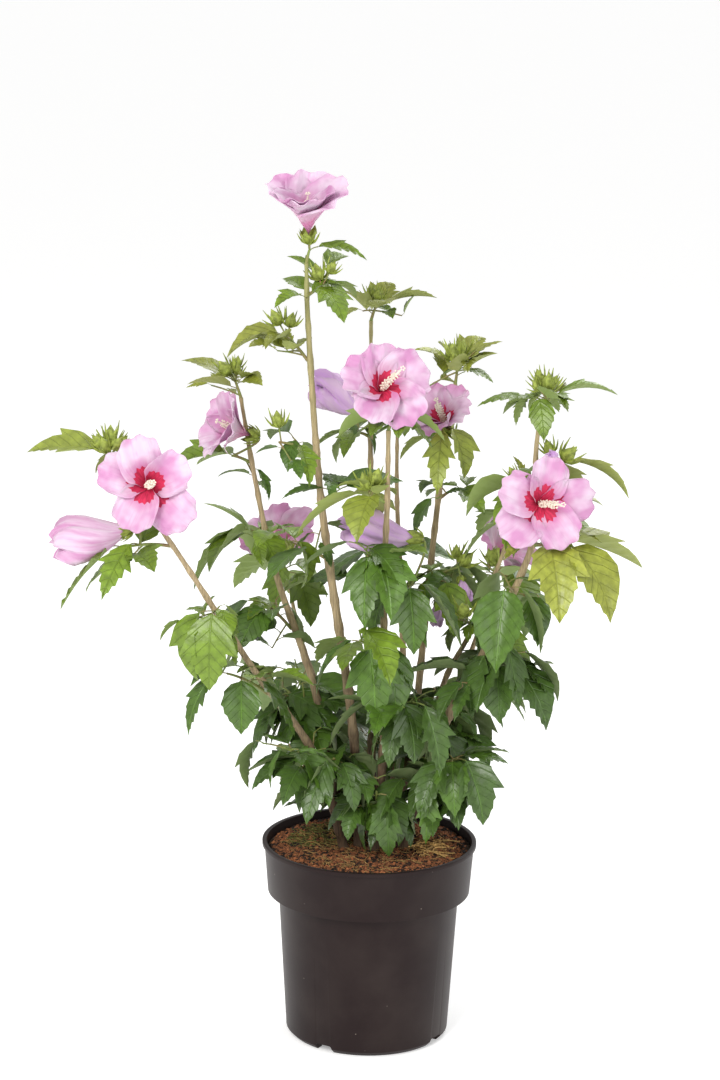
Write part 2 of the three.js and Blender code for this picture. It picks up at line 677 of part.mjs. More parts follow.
function bloomSolid(bloom, twig) {
  const axis = pointing(...bloom.faces);
  const seat = new THREE.Vector3(...bloom.seat);
  const foot = moved(seat, axis, -CALYX_LENGTH);
  const bend = moved(foot, axis, -CALYX_LENGTH);
  const line = new THREE.QuadraticBezierCurve3(twig.line.getPoint(bloom.from), bend, moved(seat, axis, -2));
  const stalk = tube(line, () => STALK_R, TWIG_SIDES, TWIG_RINGS, line.getTangent(0), sideways(line));
  if (bloom.open < FURLED_BELOW) {
    const length = bloom.petal + CALYX_LENGTH;
    return stalk.add(spindle(foot, axis, length, FURLED_PROFILE, FURLED_SIDES));
  }
  return stalk.add(cupSolid(bloom));
}

// A way square to both ends of a curve, so that the curve never takes it.
function sideways(line) {
  const start = line.getTangent(0);
  const square = start.clone().cross(line.getTangent(1));
  return square.length() > 0.01 ? square.normalize() : squareTo(start, new THREE.Vector3(0.3, 0.5, 0.8));
}

function twigSolid(twig) {
  const radiusAt = (share) => TWIG_R + (TWIG_TIP_R - TWIG_R) * share;
  return tube(twig.line, radiusAt, TWIG_SIDES, TWIG_RINGS, twig.face, sideways(twig.line));
}

function limbSolid(limb) {
  const flare = (share) => {
    const rise = limb.line.getPoint(share).z - SOIL_Z;
    return limb.rooted ? 1 + ROOT_FLARE * Math.max(0, 1 - rise / FLARE_HEIGHT) : 1;
  };
  const radiusAt = (share) => limb.radiusAt(share) * flare(share);
  return tube(limb.line, radiusAt, LIMB_SIDES, limb.rings, limb.face, new THREE.Vector3(0, 1, 0));
}

function overlaps(solid, others) {
  return others.some((other) => !solid.intersect(other).isEmpty());
}

// Pieces fused into one body: a hollow that they seal is filled, and a loose scrap is dropped.
function fused(pieces) {
  const bodies = wasm.Manifold.union(pieces).decompose();
  return bodies.reduce((best, body) => (body.volume() > best.volume() ? body : best));
}

// A spray's twig, with its bloom.
function coreSolid(spray) {
  const twig = twigSolid(spray.twig);
  return spray.bloom ? twig.add(bloomSolid(spray.bloom, spray.twig)) : twig;
}

// A spray grown on its core, without the leaves and buds that would touch a neighbour.
function spraySolid(spray, core, others) {
  const pieces = [...spray.leaves.map(leafSolid), ...spray.buds.map(budSolid)];
  return fused([core, ...pieces.filter((piece) => !overlaps(piece, others))]);
}

// --- Pot and soil ----------------------------------------------------------------------------

// A solid of revolution about +Z from a profile of [radius, height] points.
function turned(profile) {
  const points = profile.map(([radius, height]) => new THREE.Vector2(radius, height));
  return solidOf(new THREE.LatheGeometry(points, POT_SIDES).rotateX(Math.PI / 2));
}

// The inside of the pot from the middle of its floor to the soil's edge, `gap` further in.
function insideProfile(gap) {
  const floor = WALL + gap;
  const wall = WALL + gap;
  return [
    [0, floor],
    [PAD_R - wall, floor],
    [PAD_R + CHANNEL_SLOPE - wall, CHANNEL_HEIGHT + floor],
    [BODY_BOTTOM_R + 0.5 - wall, CHANNEL_HEIGHT + floor],
    [BODY_TOP_R - wall, LEDGE_Z + floor],
    [COLLAR_R - wall, LEDGE_Z + floor],
  ];
}

function potSolid() {
  const rimInside = RIM_R - RIM_LIP - WALL;
  const body = turned([
    [0, 0],
    [PAD_R, 0],
    [PAD_R + CHANNEL_SLOPE, CHANNEL_HEIGHT],
    [BODY_BOTTOM_R - FOOT_BEVEL - FOOT_WIDTH, CHANNEL_HEIGHT],
    [BODY_BOTTOM_R - FOOT_BEVEL - FOOT_WIDTH, 0],
    [BODY_BOTTOM_R - FOOT_BEVEL, 0],
    [BODY_BOTTOM_R, FOOT_BEVEL],
    [BODY_TOP_R, LEDGE_Z],
    [COLLAR_R, LEDGE_Z],
    [RIM_R - RIM_LIP, POT_HEIGHT - RIM_DEPTH],
    [RIM_R, POT_HEIGHT - RIM_DEPTH],
    [RIM_R, POT_HEIGHT],
    [rimInside, POT_HEIGHT],
    ...insideProfile(0).reverse(),
  ]);
  const cuts = [];
  for (let notch = 0; notch < NOTCHES; notch += 1) {
    const angle = rad(FIRST_NOTCH + (notch * 360) / NOTCHES);
    const gate = new THREE.BoxGeometry(3 * FOOT_WIDTH, NOTCH_WIDTH, 2 * NOTCH_HEIGHT);
    cuts.push(solidOf(gate.translate(BODY_BOTTOM_R - FOOT_WIDTH, 0, 0).rotateZ(angle)));
    const drain = new THREE.BoxGeometry(DRAIN_WIDTH, DRAIN_LENGTH, 3 * WALL);
    const drainR = (PAD_R + CHANNEL_SLOPE + BODY_BOTTOM_R - FOOT_BEVEL - FOOT_WIDTH) / 2;
    drain.translate(drainR, 0, CHANNEL_HEIGHT + WALL / 2).rotateZ(angle + Math.PI / NOTCHES);
    cuts.push(solidOf(drain));
  }
  return body.subtract(wasm.Manifold.union(cuts));
}

function soilSolid() {
  const edge = SOIL_Z - SOIL_EDGE_DROP;
  const collarSlope = (RIM_R - RIM_LIP - COLLAR_R) / (POT_HEIGHT - RIM_DEPTH - LEDGE_Z);
  const edgeR = COLLAR_R - WALL - CLEAR + collarSlope * (edge - LEDGE_Z) * 0.8;
  const [, , , ...wall] = insideProfile(CLEAR);
  const floor = wall[0][1];
  return turned([[0, floor], ...wall, [edgeR, edge], [SOIL_FLAT_R, SOIL_Z], [0, SOIL_Z]]);
}

// --- The whole shrub -------------------------------------------------------------------------

function materialOf(color, roughness) {
  return new THREE.MeshStandardMaterial({ color, roughness, metalness: 0, flatShading: true });
}

function named(name, solid, material) {
  const mesh = new THREE.Mesh(geometryOf(solid), material);
  mesh.name = name;
  return mesh;
}

const potPlastic = materialOf(COLOURS.pot, 0.5);
const pottingSoil = materialOf(COLOURS.soil, 1);
const bark = materialOf(COLOURS.bark, 0.8);
const foliage = materialOf(COLOURS.leaves, 0.5);

const plant = planPlant();
const pot = potSolid();
const soil = soilSolid();
const shrub = new THREE.Group();
shrub.add(named("pot", pot, potPlastic), named("soil", soil, pottingSoil));
const grown = [pot, soil];
for (const limb of plant.limbs) {
  const solid = limbSolid(limb);
  grown.push(solid);
  shrub.add(named(limb.name, solid, bark));
}
const cores = plant.sprays.map(coreSolid);
plant.sprays.forEach((spray, place) => {
  const solid = spraySolid(spray, cores[place], [...grown, ...cores.slice(place + 1)]);
  grown.push(solid);
  shrub.add(named(`${spray.name}_spray`, solid, foliage));
});

export default shrub;
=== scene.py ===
"""A flowering hibiscus shrub in its nursery pot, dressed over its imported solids.

Sizes and places are in millimetres unless a name says otherwise, and +Z is up. The plant
grows by the rule of the part's source: limbs, a twig for each spray, and leaves, buds and
blooms on the twigs. Short shoots with smaller leaves then fill each spray's own space.
"""
import math
from collections import namedtuple
from functools import cache

import bmesh
import bpy
import numpy as np
from bpy.props import FloatProperty, FloatVectorProperty, IntProperty, PointerProperty
from mathutils import Matrix, Vector, noise


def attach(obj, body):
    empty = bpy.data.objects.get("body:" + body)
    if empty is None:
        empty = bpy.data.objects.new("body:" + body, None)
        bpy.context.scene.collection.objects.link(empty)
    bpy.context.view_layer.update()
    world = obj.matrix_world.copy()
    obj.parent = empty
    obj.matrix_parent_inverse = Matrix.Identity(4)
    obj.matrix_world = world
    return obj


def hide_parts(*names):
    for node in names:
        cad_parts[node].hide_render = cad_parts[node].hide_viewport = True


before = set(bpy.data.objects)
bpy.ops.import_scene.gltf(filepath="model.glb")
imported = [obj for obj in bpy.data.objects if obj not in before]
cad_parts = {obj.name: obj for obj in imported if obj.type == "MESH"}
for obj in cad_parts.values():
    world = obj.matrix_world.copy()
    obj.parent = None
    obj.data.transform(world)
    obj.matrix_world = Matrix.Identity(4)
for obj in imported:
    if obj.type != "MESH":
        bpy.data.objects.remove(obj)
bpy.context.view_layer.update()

bl_info = {
    "name": "Potted hibiscus shrub",
    "version": (1, 0, 0),
    "blender": (4, 5, 0),
    "location": "View3D > Sidebar > Hibiscus",
    "description": "Makes a flowering hibiscus shrub in its nursery pot, piece by piece",
    "category": "Add Mesh",
}

MM = 0.001
BODY = "root"

# --- Sizes shared with the solids ---

# Pot and soil.
POT_HEIGHT = 214
RIM_R = 115
RIM_LIP = 2.4
RIM_DEPTH = 4
COLLAR_R = 108.6
LEDGE_Z = 159
BODY_TOP_R = 97
BODY_BOTTOM_R = 87.5
FOOT_BEVEL = 5
FOOT_WIDTH = 8
WALL = 2.2
PAD_R = 44
CHANNEL_HEIGHT = 9
CHANNEL_SLOPE = 4
NOTCHES = 4
FIRST_NOTCH = 58
NOTCH_WIDTH = 20
NOTCH_HEIGHT = 8
DRAIN_WIDTH = 10
DRAIN_LENGTH = 18
CLEAR = 0.3
SOIL_Z = 203
SOIL_FLAT_R = 56
SOIL_EDGE_DROP = 3

# Limbs, twigs and petioles.
RINGS_PER_SPAN = 3
ROOT_FLARE = 0.35
FLARE_HEIGHT = 16
TWIG_R = 1.6
TWIG_TIP_R = 1.2
TWIG_ARCH = 0.12
PETIOLE_R = 0.9
FIRST_LEAF = 0.92
LEAF_SPREAD = 0.62
GOLDEN_TURN = 137.5
LEAF_FOLD = 12

# How leaves and buds differ, each as a least and a greatest value.
FAN = (39, 65)
PETIOLE_SHARE = (0.14, 0.26)
PETIOLE_RISE = 22
PETIOLE_FOLLOW = 0.3
SIDE_LENGTH = (0.72, 0.98)
SIDE_RISE = (-22, 22)
DROOP = (22, 46)
ROLL = (-25, 25)
WIDTH = (0.86, 1.14)
BUD_RISE = (42, 82)
BUD_STALK = (6, 17)
BUD_LENGTH = (13, 21)

# Room that each leaf keeps, between the spots that stand for it and what is near.
SPOTS = np.array([(0.3, 0, 0), (0.6, 0, 0), (1, 0, 0), (0.4, 0.26, 0), (0.4, -0.26, 0)])
LEAF_ROOM = 10
OWN_ROOM = 9
BARK_ROOM = 5
PETAL_ROOM = 8
POT_ROOM = 4
RIM_BAND = 12
LOWEST_LEAF = 150
TURNS = (0, 24, -24, 48, -48, 72, -72)
BARK_SPOTS = 60
PETAL_SPOT_TURN = 24
HALVINGS = 30
FIRST_SEED = 1000
SEED_STEP = 7919

# Blooms.
CALYX_LENGTH = 10
STALK_R = 1.3
COLUMN_R = 2.4
COLUMN_SHARE = 0.62
PETALS = 5
PETAL_FOOT = 0.45
PETAL_CURL = 0.8

# --- Sizes of the finer growth ---

LEAF_SKIN = 0.008  # thickness of a blade over its length
LEAF_PUFF = 0.026  # how far a blade swells between its veins, over its length
LEAF_WAVE = 0.03  # how far its edge waves
LEAF_WAVE_SPREAD = 2.5
LEAF_PUFF_PLACE = 0.52  # where a blade swells most, from midrib to edge
LEAF_VEIN_SINK = -0.1  # of the swell along a vein
LEAF_FIRST_VEIN = 0.02  # the least step between the feet of veins
ROW_SPOTS = 6  # a row's spots: midrib, swell and edge on both sides, midrib below
LEAF_VARIETY = (0.5, 1.6)  # of the swell and the wave
LEAF_VEE = (-0.12, 0.45)  # how far the halves rise from the midrib, over their width
LEAF_TIP_LIFT = (-0.17, 0.06)  # how far the tip rises, over the length
LEAF_SKEW = (-0.1, 0.1)  # how far one half rises over the other, over the width
PETIOLE_ARCH = 0.14

SHOOT_SHARE = (0.02, 0.98)  # of the twig, where short shoots start
SHOOT_FAN = (15, 150)
SHOOT_RISE = (-50, 80)
SHOOT_REACH = (6, 40)
SHOOT_ABOVE = 26  # how far they may stand over the leaves of a side twig
TIP_LIFT = (0, 34)  # how much further than its solid a leaf at a stem's tip rises
SHOOT_LEAVES = 3
SHOOT_LEAF_STEP = 0.3  # between leaves, over the shoot
SHOOT_SEED = 500
SHOOT_TWIG_R = 1.0
FINE_LEAF_ROOM = 4.2
FINE_BARK_ROOM = 1.5
FINE_PETAL_ROOM = 6

# For each tone: short shoots tried for each main leaf, the length of their leaves over the
# spray's first leaf, how far they hang, the tone that some of them take instead, and the share
# of the main leaves that has fallen.
SHOOT_HABIT = {
    "deep": {"tries": 0.9, "leaf": (0.55, 1.0), "hang": (-30, 62), "other": "green", "fallen": 0.16},
    "green": {"tries": 0.4, "leaf": (0.42, 0.92), "hang": (-45, 60), "other": "fresh", "fallen": 0.44},
    "fresh": {"tries": 0.4, "leaf": (0.34, 0.75), "hang": (-50, 50), "other": "green", "fallen": 0.24},
    "olive": {"tries": 0.5, "leaf": (0.3, 0.66), "hang": (-75, 10), "other": "fresh", "fallen": 0.1},
    "lime": {"tries": 0.4, "leaf": (0.34, 0.7), "hang": (-50, 40), "other": "fresh", "fallen": 0},
}
OTHER_TONE_SHARE = 0.3

# The space in front of a bloom that leaves and buds keep out of, over a petal's length.
VIEW_DEPTH = 1.6
VIEW_RADIUS = 0.6

# Half of a blade from its foot to its tip, as shares of its length: along it, and aside. Odd
# rows are the points of teeth, where veins end, and even rows lie between them.
LOBED = ((0.09, 0.15), (0.22, 0.27), (0.28, 0.26), (0.54, 0.35), (0.5, 0.2), (0.63, 0.215),
         (0.66, 0.17), (0.76, 0.155), (0.79, 0.12), (0.88, 0.085), (0.91, 0.055))
BROAD = ((0.07, 0.17), (0.2, 0.29), (0.26, 0.29), (0.42, 0.345), (0.46, 0.3), (0.57, 0.285),
         (0.61, 0.235), (0.71, 0.2), (0.75, 0.15), (0.85, 0.105), (0.89, 0.06))
SLENDER = ((0.12, 0.09), (0.28, 0.17), (0.32, 0.155), (0.49, 0.25), (0.47, 0.14), (0.61, 0.165),
           (0.63, 0.12), (0.75, 0.12), (0.77, 0.08), (0.87, 0.06), (0.89, 0.03))
OUTLINES = (LOBED, LOBED, BROAD, LOBED, SLENDER)
VEIN_SWEEP = 1.05  # how far forward a vein runs, over how far aside

# --- The plant, as in the source ---

# A foot on the soil or a fork on another limb, the points it passes, and its radii.
LIMBS = (
    {"name": "tall_stem", "foot": (-10, -4), "radii": (5.6, 1.9),
     "through": ((-20, -8, 345), (-47, -15, 525), (-60, -20, 632), (-71, -27, 780), (-73, -29, 838))},
    {"name": "front_stem", "foot": (4, -16), "radii": (5.2, 2.1),
     "through": ((13, -25, 312), (14, -35, 386), (11, -45, 498), (13, -55, 598), (13, -60, 672))},
    {"name": "left_stem", "foot": (-25, 9), "radii": (4.6, 1.8),
     "through": ((-60, 25, 370), (-104, 35, 499), (-128, 40, 606), (-142, 40, 686))},
    {"name": "outer_left_stem", "foot": (-26, -12), "radii": (4.8, 1.9),
     "through": ((-58, -30, 314), (-125, -60, 420), (-194, -85, 536), (-220, -93, 576))},
    {"name": "right_stem", "foot": (22, 10), "radii": (4.8, 1.8),
     "through": ((45, 35, 315), (60, 47, 490), (75, 55, 644), (84, 55, 702))},
    {"name": "outer_right_stem", "foot": (34, -6), "radii": (5.4, 1.8),
     "through": ((78, -20, 349), (125, -35, 450), (166, -46, 560), (165, -45, 645), (169, -45, 692))},
    {"name": "back_stem", "foot": (2, 16), "radii": (4.8, 1.8),
     "through": ((1, 45, 350), (-1, 70, 506), (-5, 80, 640), (-6, 80, 764))},
    {"name": "back_right_stem", "foot": (20, 34), "radii": (4.4, 1.7),
     "through": ((34, 72, 350), (31, 102, 460), (25, 110, 566), (24, 110, 640))},
    {"name": "back_left_stem", "foot": (-17, 30), "radii": (4.4, 1.7),
     "through": ((-50, 85, 330), (-78, 128, 400), (-92, 152, 456))},
    {"name": "far_right_stem", "foot": (38, 22), "radii": (4.4, 1.7),
     "through": ((78, 68, 325), (112, 105, 405), (128, 124, 458))},
    {"name": "right_bough", "fork": "outer_right_stem", "at": 262, "toward": 70, "radii": (3.4, 1.6),
     "through": ((74, 12, 376), (104, 18, 440), (131, 18, 510), (146, 16, 556))},
)

# The limb, the height on it where the twig starts (None at its tip), the way the twig points,
# its reach and rise, its leaves, the first leaf's length and hang, its buds, and its tone.
SprayRow = namedtuple("SprayRow", "name limb height toward reach rise leaves longest hang buds tone")
SPRAYS = (
    ("tall_tip", "tall_stem", None, 352, 14, 78, 1, 54, -8, 0, "fresh"),
    ("tall_upper_right", "tall_stem", 806, 352, 16, 30, 4, 64, 20, 2, "fresh"),
    ("tall_upper_left", "tall_stem", 738, 182, 34, 48, 3, 62, 2, 2, "olive"),
    ("tall_middle_left", "tall_stem", 640, 186, 38, 18, 4, 72, 22, 1, "fresh"),
    ("tall_middle_right", "tall_stem", 590, 20, 12, 25, 3, 64, -14, 0, "green"),
    ("tall_low_left", "tall_stem", 528, 176, 22, 20, 4, 72, 14, 0, "green"),
    ("tall_foot", "tall_stem", 272, 238, 62, 48, 7, 72, 40, 0, "deep"),
    ("front_tip", "front_stem", None, 330, 20, 66, 5, 54, 14, 5, "fresh"),
    ("front_upper", "front_stem", 596, 188, 16, 20, 3, 76, 18, 2, "lime"),
    ("front_middle_left", "front_stem", 536, 200, 18, 10, 4, 82, 40, 0, "green"),
    ("front_middle_right", "front_stem", 500, 340, 30, 18, 5, 78, 46, 0, "green"),
    ("front_low_left", "front_stem", 424, 226, 44, 40, 6, 84, 54, 0, "green"),
    ("front_low_right", "front_stem", 352, 310, 54, 40, 7, 78, 54, 0, "deep"),
    ("front_foot", "front_stem", 246, 268, 50, 52, 8, 62, 40, 0, "deep"),
    ("left_tip", "left_stem", None, 165, 18, 70, 4, 54, -18, 4, "olive"),
    ("left_upper", "left_stem", 618, 186, 20, 20, 3, 60, -2, 0, "fresh"),
    ("left_middle", "left_stem", 540, 188, 10, 20, 5, 84, 34, 0, "fresh"),
    ("left_low", "left_stem", 440, 192, 44, 44, 7, 72, 34, 0, "green"),
    ("left_foot", "left_stem", 330, 150, 64, 40, 8, 74, 42, 0, "deep"),
    ("outer_left_tip", "outer_left_stem", None, 178, 92, 56, 3, 72, -10, 6, "lime"),
    ("outer_left_under", "outer_left_stem", 556, 198, 52, 0, 2, 84, 36, 0, "fresh"),
    ("outer_left_middle", "outer_left_stem", 478, 262, 22, 30, 6, 82, 60, 0, "fresh"),
    ("outer_left_low", "outer_left_stem", 392, 204, 52, 30, 7, 74, 44, 0, "green"),
    ("outer_left_foot", "outer_left_stem", 300, 216, 54, 38, 7, 70, 40, 0, "deep"),
    ("right_tip", "right_stem", None, 60, 16, 76, 6, 56, -30, 5, "olive"),
    ("right_upper", "right_stem", 650, 262, 24, 20, 2, 76, 40, 0, "lime"),
    ("right_middle", "right_stem", 580, 356, 14, 34, 4, 58, -10, 0, "green"),
    ("right_low", "right_stem", 490, 330, 38, 30, 7, 74, 34, 2, "green"),
    ("right_foot", "right_stem", 310, 24, 66, 40, 8, 74, 46, 0, "deep"),
    ("outer_right_tip", "outer_right_stem", None, 6, 14, 66, 5, 66, 0, 5, "fresh"),
    ("outer_right_upper", "outer_right_stem", 622, 8, 22, 30, 4, 76, 8, 2, "olive"),
    ("outer_right_inner", "outer_right_stem", 604, 172, 12, 24, 4, 64, 6, 1, "fresh"),
    ("outer_right_under", "outer_right_stem", 552, 322, 30, 0, 3, 92, 30, 0, "olive"),
    ("outer_right_middle", "outer_right_stem", 500, 256, 28, 24, 5, 86, 58, 0, "green"),
    ("outer_right_low", "outer_right_stem", 410, 336, 52, 30, 8, 80, 50, 0, "deep"),
    ("outer_right_foot", "outer_right_stem", 290, 310, 56, 36, 8, 72, 48, 0, "deep"),
    ("bough_tip", "right_bough", None, 344, 12, 60, 6, 80, 24, 4, "fresh"),
    ("bough_low", "right_bough", 446, 256, 36, 24, 6, 90, 56, 1, "green"),
    ("back_tip", "back_stem", None, 10, 14, 72, 5, 56, -14, 3, "olive"),
    ("back_upper", "back_stem", 640, 200, 14, 20, 3, 58, 10, 0, "fresh"),
    ("back_middle", "back_stem", 490, 80, 40, 36, 8, 76, 30, 0, "green"),
    ("back_foot", "back_stem", 262, 96, 62, 40, 8, 74, 38, 0, "deep"),
    ("back_right_tip", "back_right_stem", None, 60, 26, 60, 6, 70, 20, 3, "fresh"),
    ("back_left_tip", "back_left_stem", None, 120, 26, 60, 6, 70, 20, 3, "fresh"),
    ("back_left_low", "back_left_stem", 340, 150, 56, 36, 8, 78, 42, 0, "green"),
    ("far_right_tip", "far_right_stem", None, 40, 26, 60, 6, 70, 20, 3, "fresh"),
    ("far_right_low", "far_right_stem", 336, 60, 56, 36, 8, 78, 42, 0, "green"),
)
TONES = ("deep", "green", "fresh", "olive", "lime")

BLOOMS = {
    "tall_tip": {"from": 0.92, "seat": (-71, -34, 868), "faces": (262, 66), "petal": 58, "open": 58},
    "front_tip": {"from": 0.92, "seat": (3, -62, 712), "faces": (286, 28), "petal": 54, "open": 72},
    "right_upper": {"from": 0.92, "seat": (76, 38, 658), "faces": (232, 52), "petal": 50, "open": 60},
    "outer_left_tip": {"from": 0.1, "seat": (-229, -104, 620), "faces": (272, 12), "petal": 57, "open": 72},
    "left_upper": {"from": 0.92, "seat": (-131, 22, 650), "faces": (206, 20), "petal": 56, "open": 44},
    "outer_right_under": {"from": 0.92, "seat": (166, -68, 600), "faces": (284, 8), "petal": 58,
                          "open": 74},
    "outer_left_under": {"from": 0.6, "seat": (-254, -106, 574), "faces": (190, -12), "petal": 70,
                         "open": 17},
    "back_upper": {"from": 0.92, "seat": (-14, 66, 668), "faces": (190, 32), "petal": 58, "open": 24},
    "front_middle_right": {"from": 0.92, "seat": (42, -10, 548), "faces": (176, 8), "petal": 70,
                           "open": 30},
    "back_left_tip": {"from": 0.92, "seat": (-96, 170, 494), "faces": (112, 30), "petal": 54, "open": 66},
    "far_right_tip": {"from": 0.92, "seat": (134, 136, 496), "faces": (48, 28), "petal": 52, "open": 60},
}
FURLED = ("outer_left_under",)
FADED = ("back_upper", "front_middle_right")

UP = np.array([0.0, 0.0, 1.0])


# --- The rule, as in the source ---

def level(toward):
    return np.array([math.cos(math.radians(toward)), math.sin(math.radians(toward)), 0.0])


def pointing(toward, rise):
    return level(toward) * math.cos(math.radians(rise)) + UP * math.sin(math.radians(rise))


def unit(way):
    return way / np.linalg.norm(way)


def square_to(axis, way):
    """The part of `way` that stands square to `axis`, at unit length."""
    return unit(way - axis * np.dot(way, axis))


def between(ends, share):
    return ends[0] + (ends[1] - ends[0]) * share


def bent(start, bend, end, share):
    """A point of a quadratic curve that sets off toward `bend`."""
    return between((between((start, bend), share), between((bend, end), share)), share)


class Dice:
    """A repeatable stream of numbers from 0 up to 1."""

    def __init__(self, index):
        self.state = FIRST_SEED + index * SEED_STEP

    def roll(self):
        self.state = (self.state * 1664525 + 1013904223) % 4294967296
        return self.state / 4294967296

    def pick(self, ends):
        return between(ends, self.roll())


class Limb:
    """A limb's line, straight between rings that lie on a smooth curve through its points."""

    def __init__(self, row, limbs):
        self.name = row["name"]
        self.radii = row["radii"]
        self.rooted = "foot" in row
        self.points = [self.start(row, limbs)] + [np.array(point, float) for point in row["through"]]
        rings = len(row["through"]) * RINGS_PER_SPAN
        self.corners = [self.smooth(ring / rings) for ring in range(rings + 1)]

    def start(self, row, limbs):
        if self.rooted:
            return np.array([*row["foot"], SOIL_Z + CLEAR], float)
        parent = limbs[row["fork"]]
        share = parent.share_at(row["at"])
        face = square_to(parent.tangent(share), level(row["toward"]))
        return parent.point(share) + face * (parent.radius(share) + CLEAR)

    def smooth(self, share):
        """A point of the smooth curve through the limb's points."""
        spans = len(self.points) - 1
        span = min(int(share * spans), spans - 1)
        part = share * spans - span
        here, after = self.points[span], self.points[span + 1]
        before = self.points[span - 1] if span else 2 * here - after
        beyond = self.points[span + 2] if span + 2 <= spans else 2 * after - here
        leave, arrive = (after - before) / 2, (beyond - here) / 2
        cubic = 2 * here - 2 * after + leave + arrive
        square = -3 * here + 3 * after - 2 * leave - arrive
        return cubic * part**3 + square * part**2 + leave * part + here

    def point(self, share):
        place = share * (len(self.corners) - 1)
        ring = min(int(place), len(self.corners) - 2)
        return between((self.corners[ring], self.corners[ring + 1]), place - ring)

    def tangent(self, share):
        return unit(self.point(min(1, share + 1e-4)) - self.point(max(0, share - 1e-4)))

    def share_at(self, height):
        low, high = 0.0, 1.0
        for _ in range(HALVINGS):
            middle = (low + high) / 2
            if self.point(middle)[2] < height:
                low = middle
            else:
                high = middle
        return (low + high) / 2

    def radius(self, share):
        return between(self.radii, share)


class TwigLine:
    """A quadratic curve from a limb's bark to a spray's tip."""

    def __init__(self, row, limb):
        self.upright = row.height is None
        share = 1 if self.upright else limb.share_at(row.height)
        axis = limb.tangent(share)
        self.heart = limb.point(share)
        face = axis if self.upright else square_to(axis, level(row.toward))
        self.root = self.heart + face * (CLEAR if self.upright else limb.radius(share) + CLEAR)
        way = pointing(row.toward, row.rise)
        self.tip = self.root + way * row.reach
        arch = (axis if self.upright else UP) * row.reach * TWIG_ARCH
        self.middle = self.root + way * row.reach / 2 + arch

    def point(self, share):
        return bent(self.root, self.middle, self.tip, share)


def arc_end(rise, turn, length):
    """How far out and up arcs end that set off `rise` degrees above level and turn by `turn`."""
    start, end = np.radians(rise), np.radians(rise + turn)
    radius = length / (end - start)
    return radius * (np.sin(end) - np.sin(start)), radius * (np.cos(start) - np.cos(end))


def leaf_points(leaf, spots):
    """Points of a leaf, from rows of shares of its length: along, aside and over its face."""
    along, aside, lift = spots[:, 0], spots[:, 1], spots[:, 2]
    turn = leaf["bend"] * np.maximum(along, 1e-6)
    out, up = arc_end(leaf["rise"], turn, leaf["length"] * np.maximum(along, 1e-6))
    lean, roll, fold = np.radians(leaf["rise"] + turn), math.radians(leaf["roll"]), math.radians(LEAF_FOLD)
    flat = np.outer(np.cos(lean), UP) - np.outer(np.sin(lean), leaf["out"])
    side = leaf["side"] * math.cos(roll) + flat * math.sin(roll)
    normal = flat * math.cos(roll) - leaf["side"] * math.sin(roll)
    across = aside * leaf["length"] * leaf["wide"]
    over = np.abs(across) * math.sin(fold) + lift * leaf["length"]
    spine = leaf["foot"] + np.outer(out, leaf["out"]) + np.outer(up, UP)
    return spine + side * (across * math.cos(fold))[:, None] + normal * over[:, None]


def bloom_frame(bloom):
    """A bloom's axis, and two ways square to it."""
    toward, rise = bloom["faces"]
    axis = pointing(toward, rise)
    right = level(toward + 90)
    return axis, right, np.cross(axis, right)


def cup_points(bloom, angle, along, lift):
    """Points of a bloom's cup: round its axis in degrees, a share of a petal, and inward."""
    axis, right, top = bloom_frame(bloom)
    angle = np.radians(angle)
    outward = np.outer(np.cos(angle), right) + np.outer(np.sin(angle), top)
    start = 90 - bloom["open"] * PETAL_FOOT
    bend = -bloom["open"] * PETAL_CURL * np.maximum(along, 1e-6)
    out, up = arc_end(start, bend, bloom["petal"] * np.maximum(along, 1e-6))
    lean = np.radians(start + bend)
    out = out - lift * np.sin(lean)
    up = up + lift * np.cos(lean)
    return np.array(bloom["seat"], float) + outward * out[:, None] + np.outer(up, axis)


class Space:
    """What the plant already fills, as spots that each new leaf keeps clear of."""

    def __init__(self, limbs):
        shares = [spot / BARK_SPOTS for spot in range(BARK_SPOTS + 1)]
        self.bark = np.array([limb.point(share) for limb in limbs.values() for share in shares])
        self.bark_r = np.array([limb.radius(share) for limb in limbs.values() for share in shares])
        turns = np.arange(0, 360, PETAL_SPOT_TURN)
        rings = [
            cup_points(bloom, turns, np.full(len(turns), share), np.zeros(len(turns)))
            for bloom in BLOOMS.values()
            for share in (0.6, 1.0)
        ]
        self.petals = np.concatenate(rings)
        self.leaves = np.empty((0, 3))
        self.owners = np.empty(0, int)

    def has_room(self, spots, spray, leaf_room, own_room, bark_room, petal_room):
        from_axis = np.hypot(spots[:, 0], spots[:, 1])
        ground = np.where(from_axis > RIM_R - RIM_BAND, POT_HEIGHT, SOIL_Z)
        over = (from_axis > RIM_R + POT_ROOM) | (spots[:, 2] > ground + POT_ROOM)
        if not np.all(over & (spots[:, 2] > LOWEST_LEAF)):
            return False
        if np.any(gaps(spots, self.bark) <= self.bark_r + bark_room):
            return False
        if np.any(gaps(spots, self.petals) <= petal_room):
            return False
        room = np.where(self.owners == spray, own_room, leaf_room)
        return not np.any(gaps(spots, self.leaves) <= room)

    def fill(self, spots, spray):
        self.leaves = np.concatenate([self.leaves, spots])
        self.owners = np.concatenate([self.owners, np.full(len(spots), spray)])


def gaps(spots, others):
    return np.linalg.norm(spots[:, None, :] - others[None, :, :], axis=2)


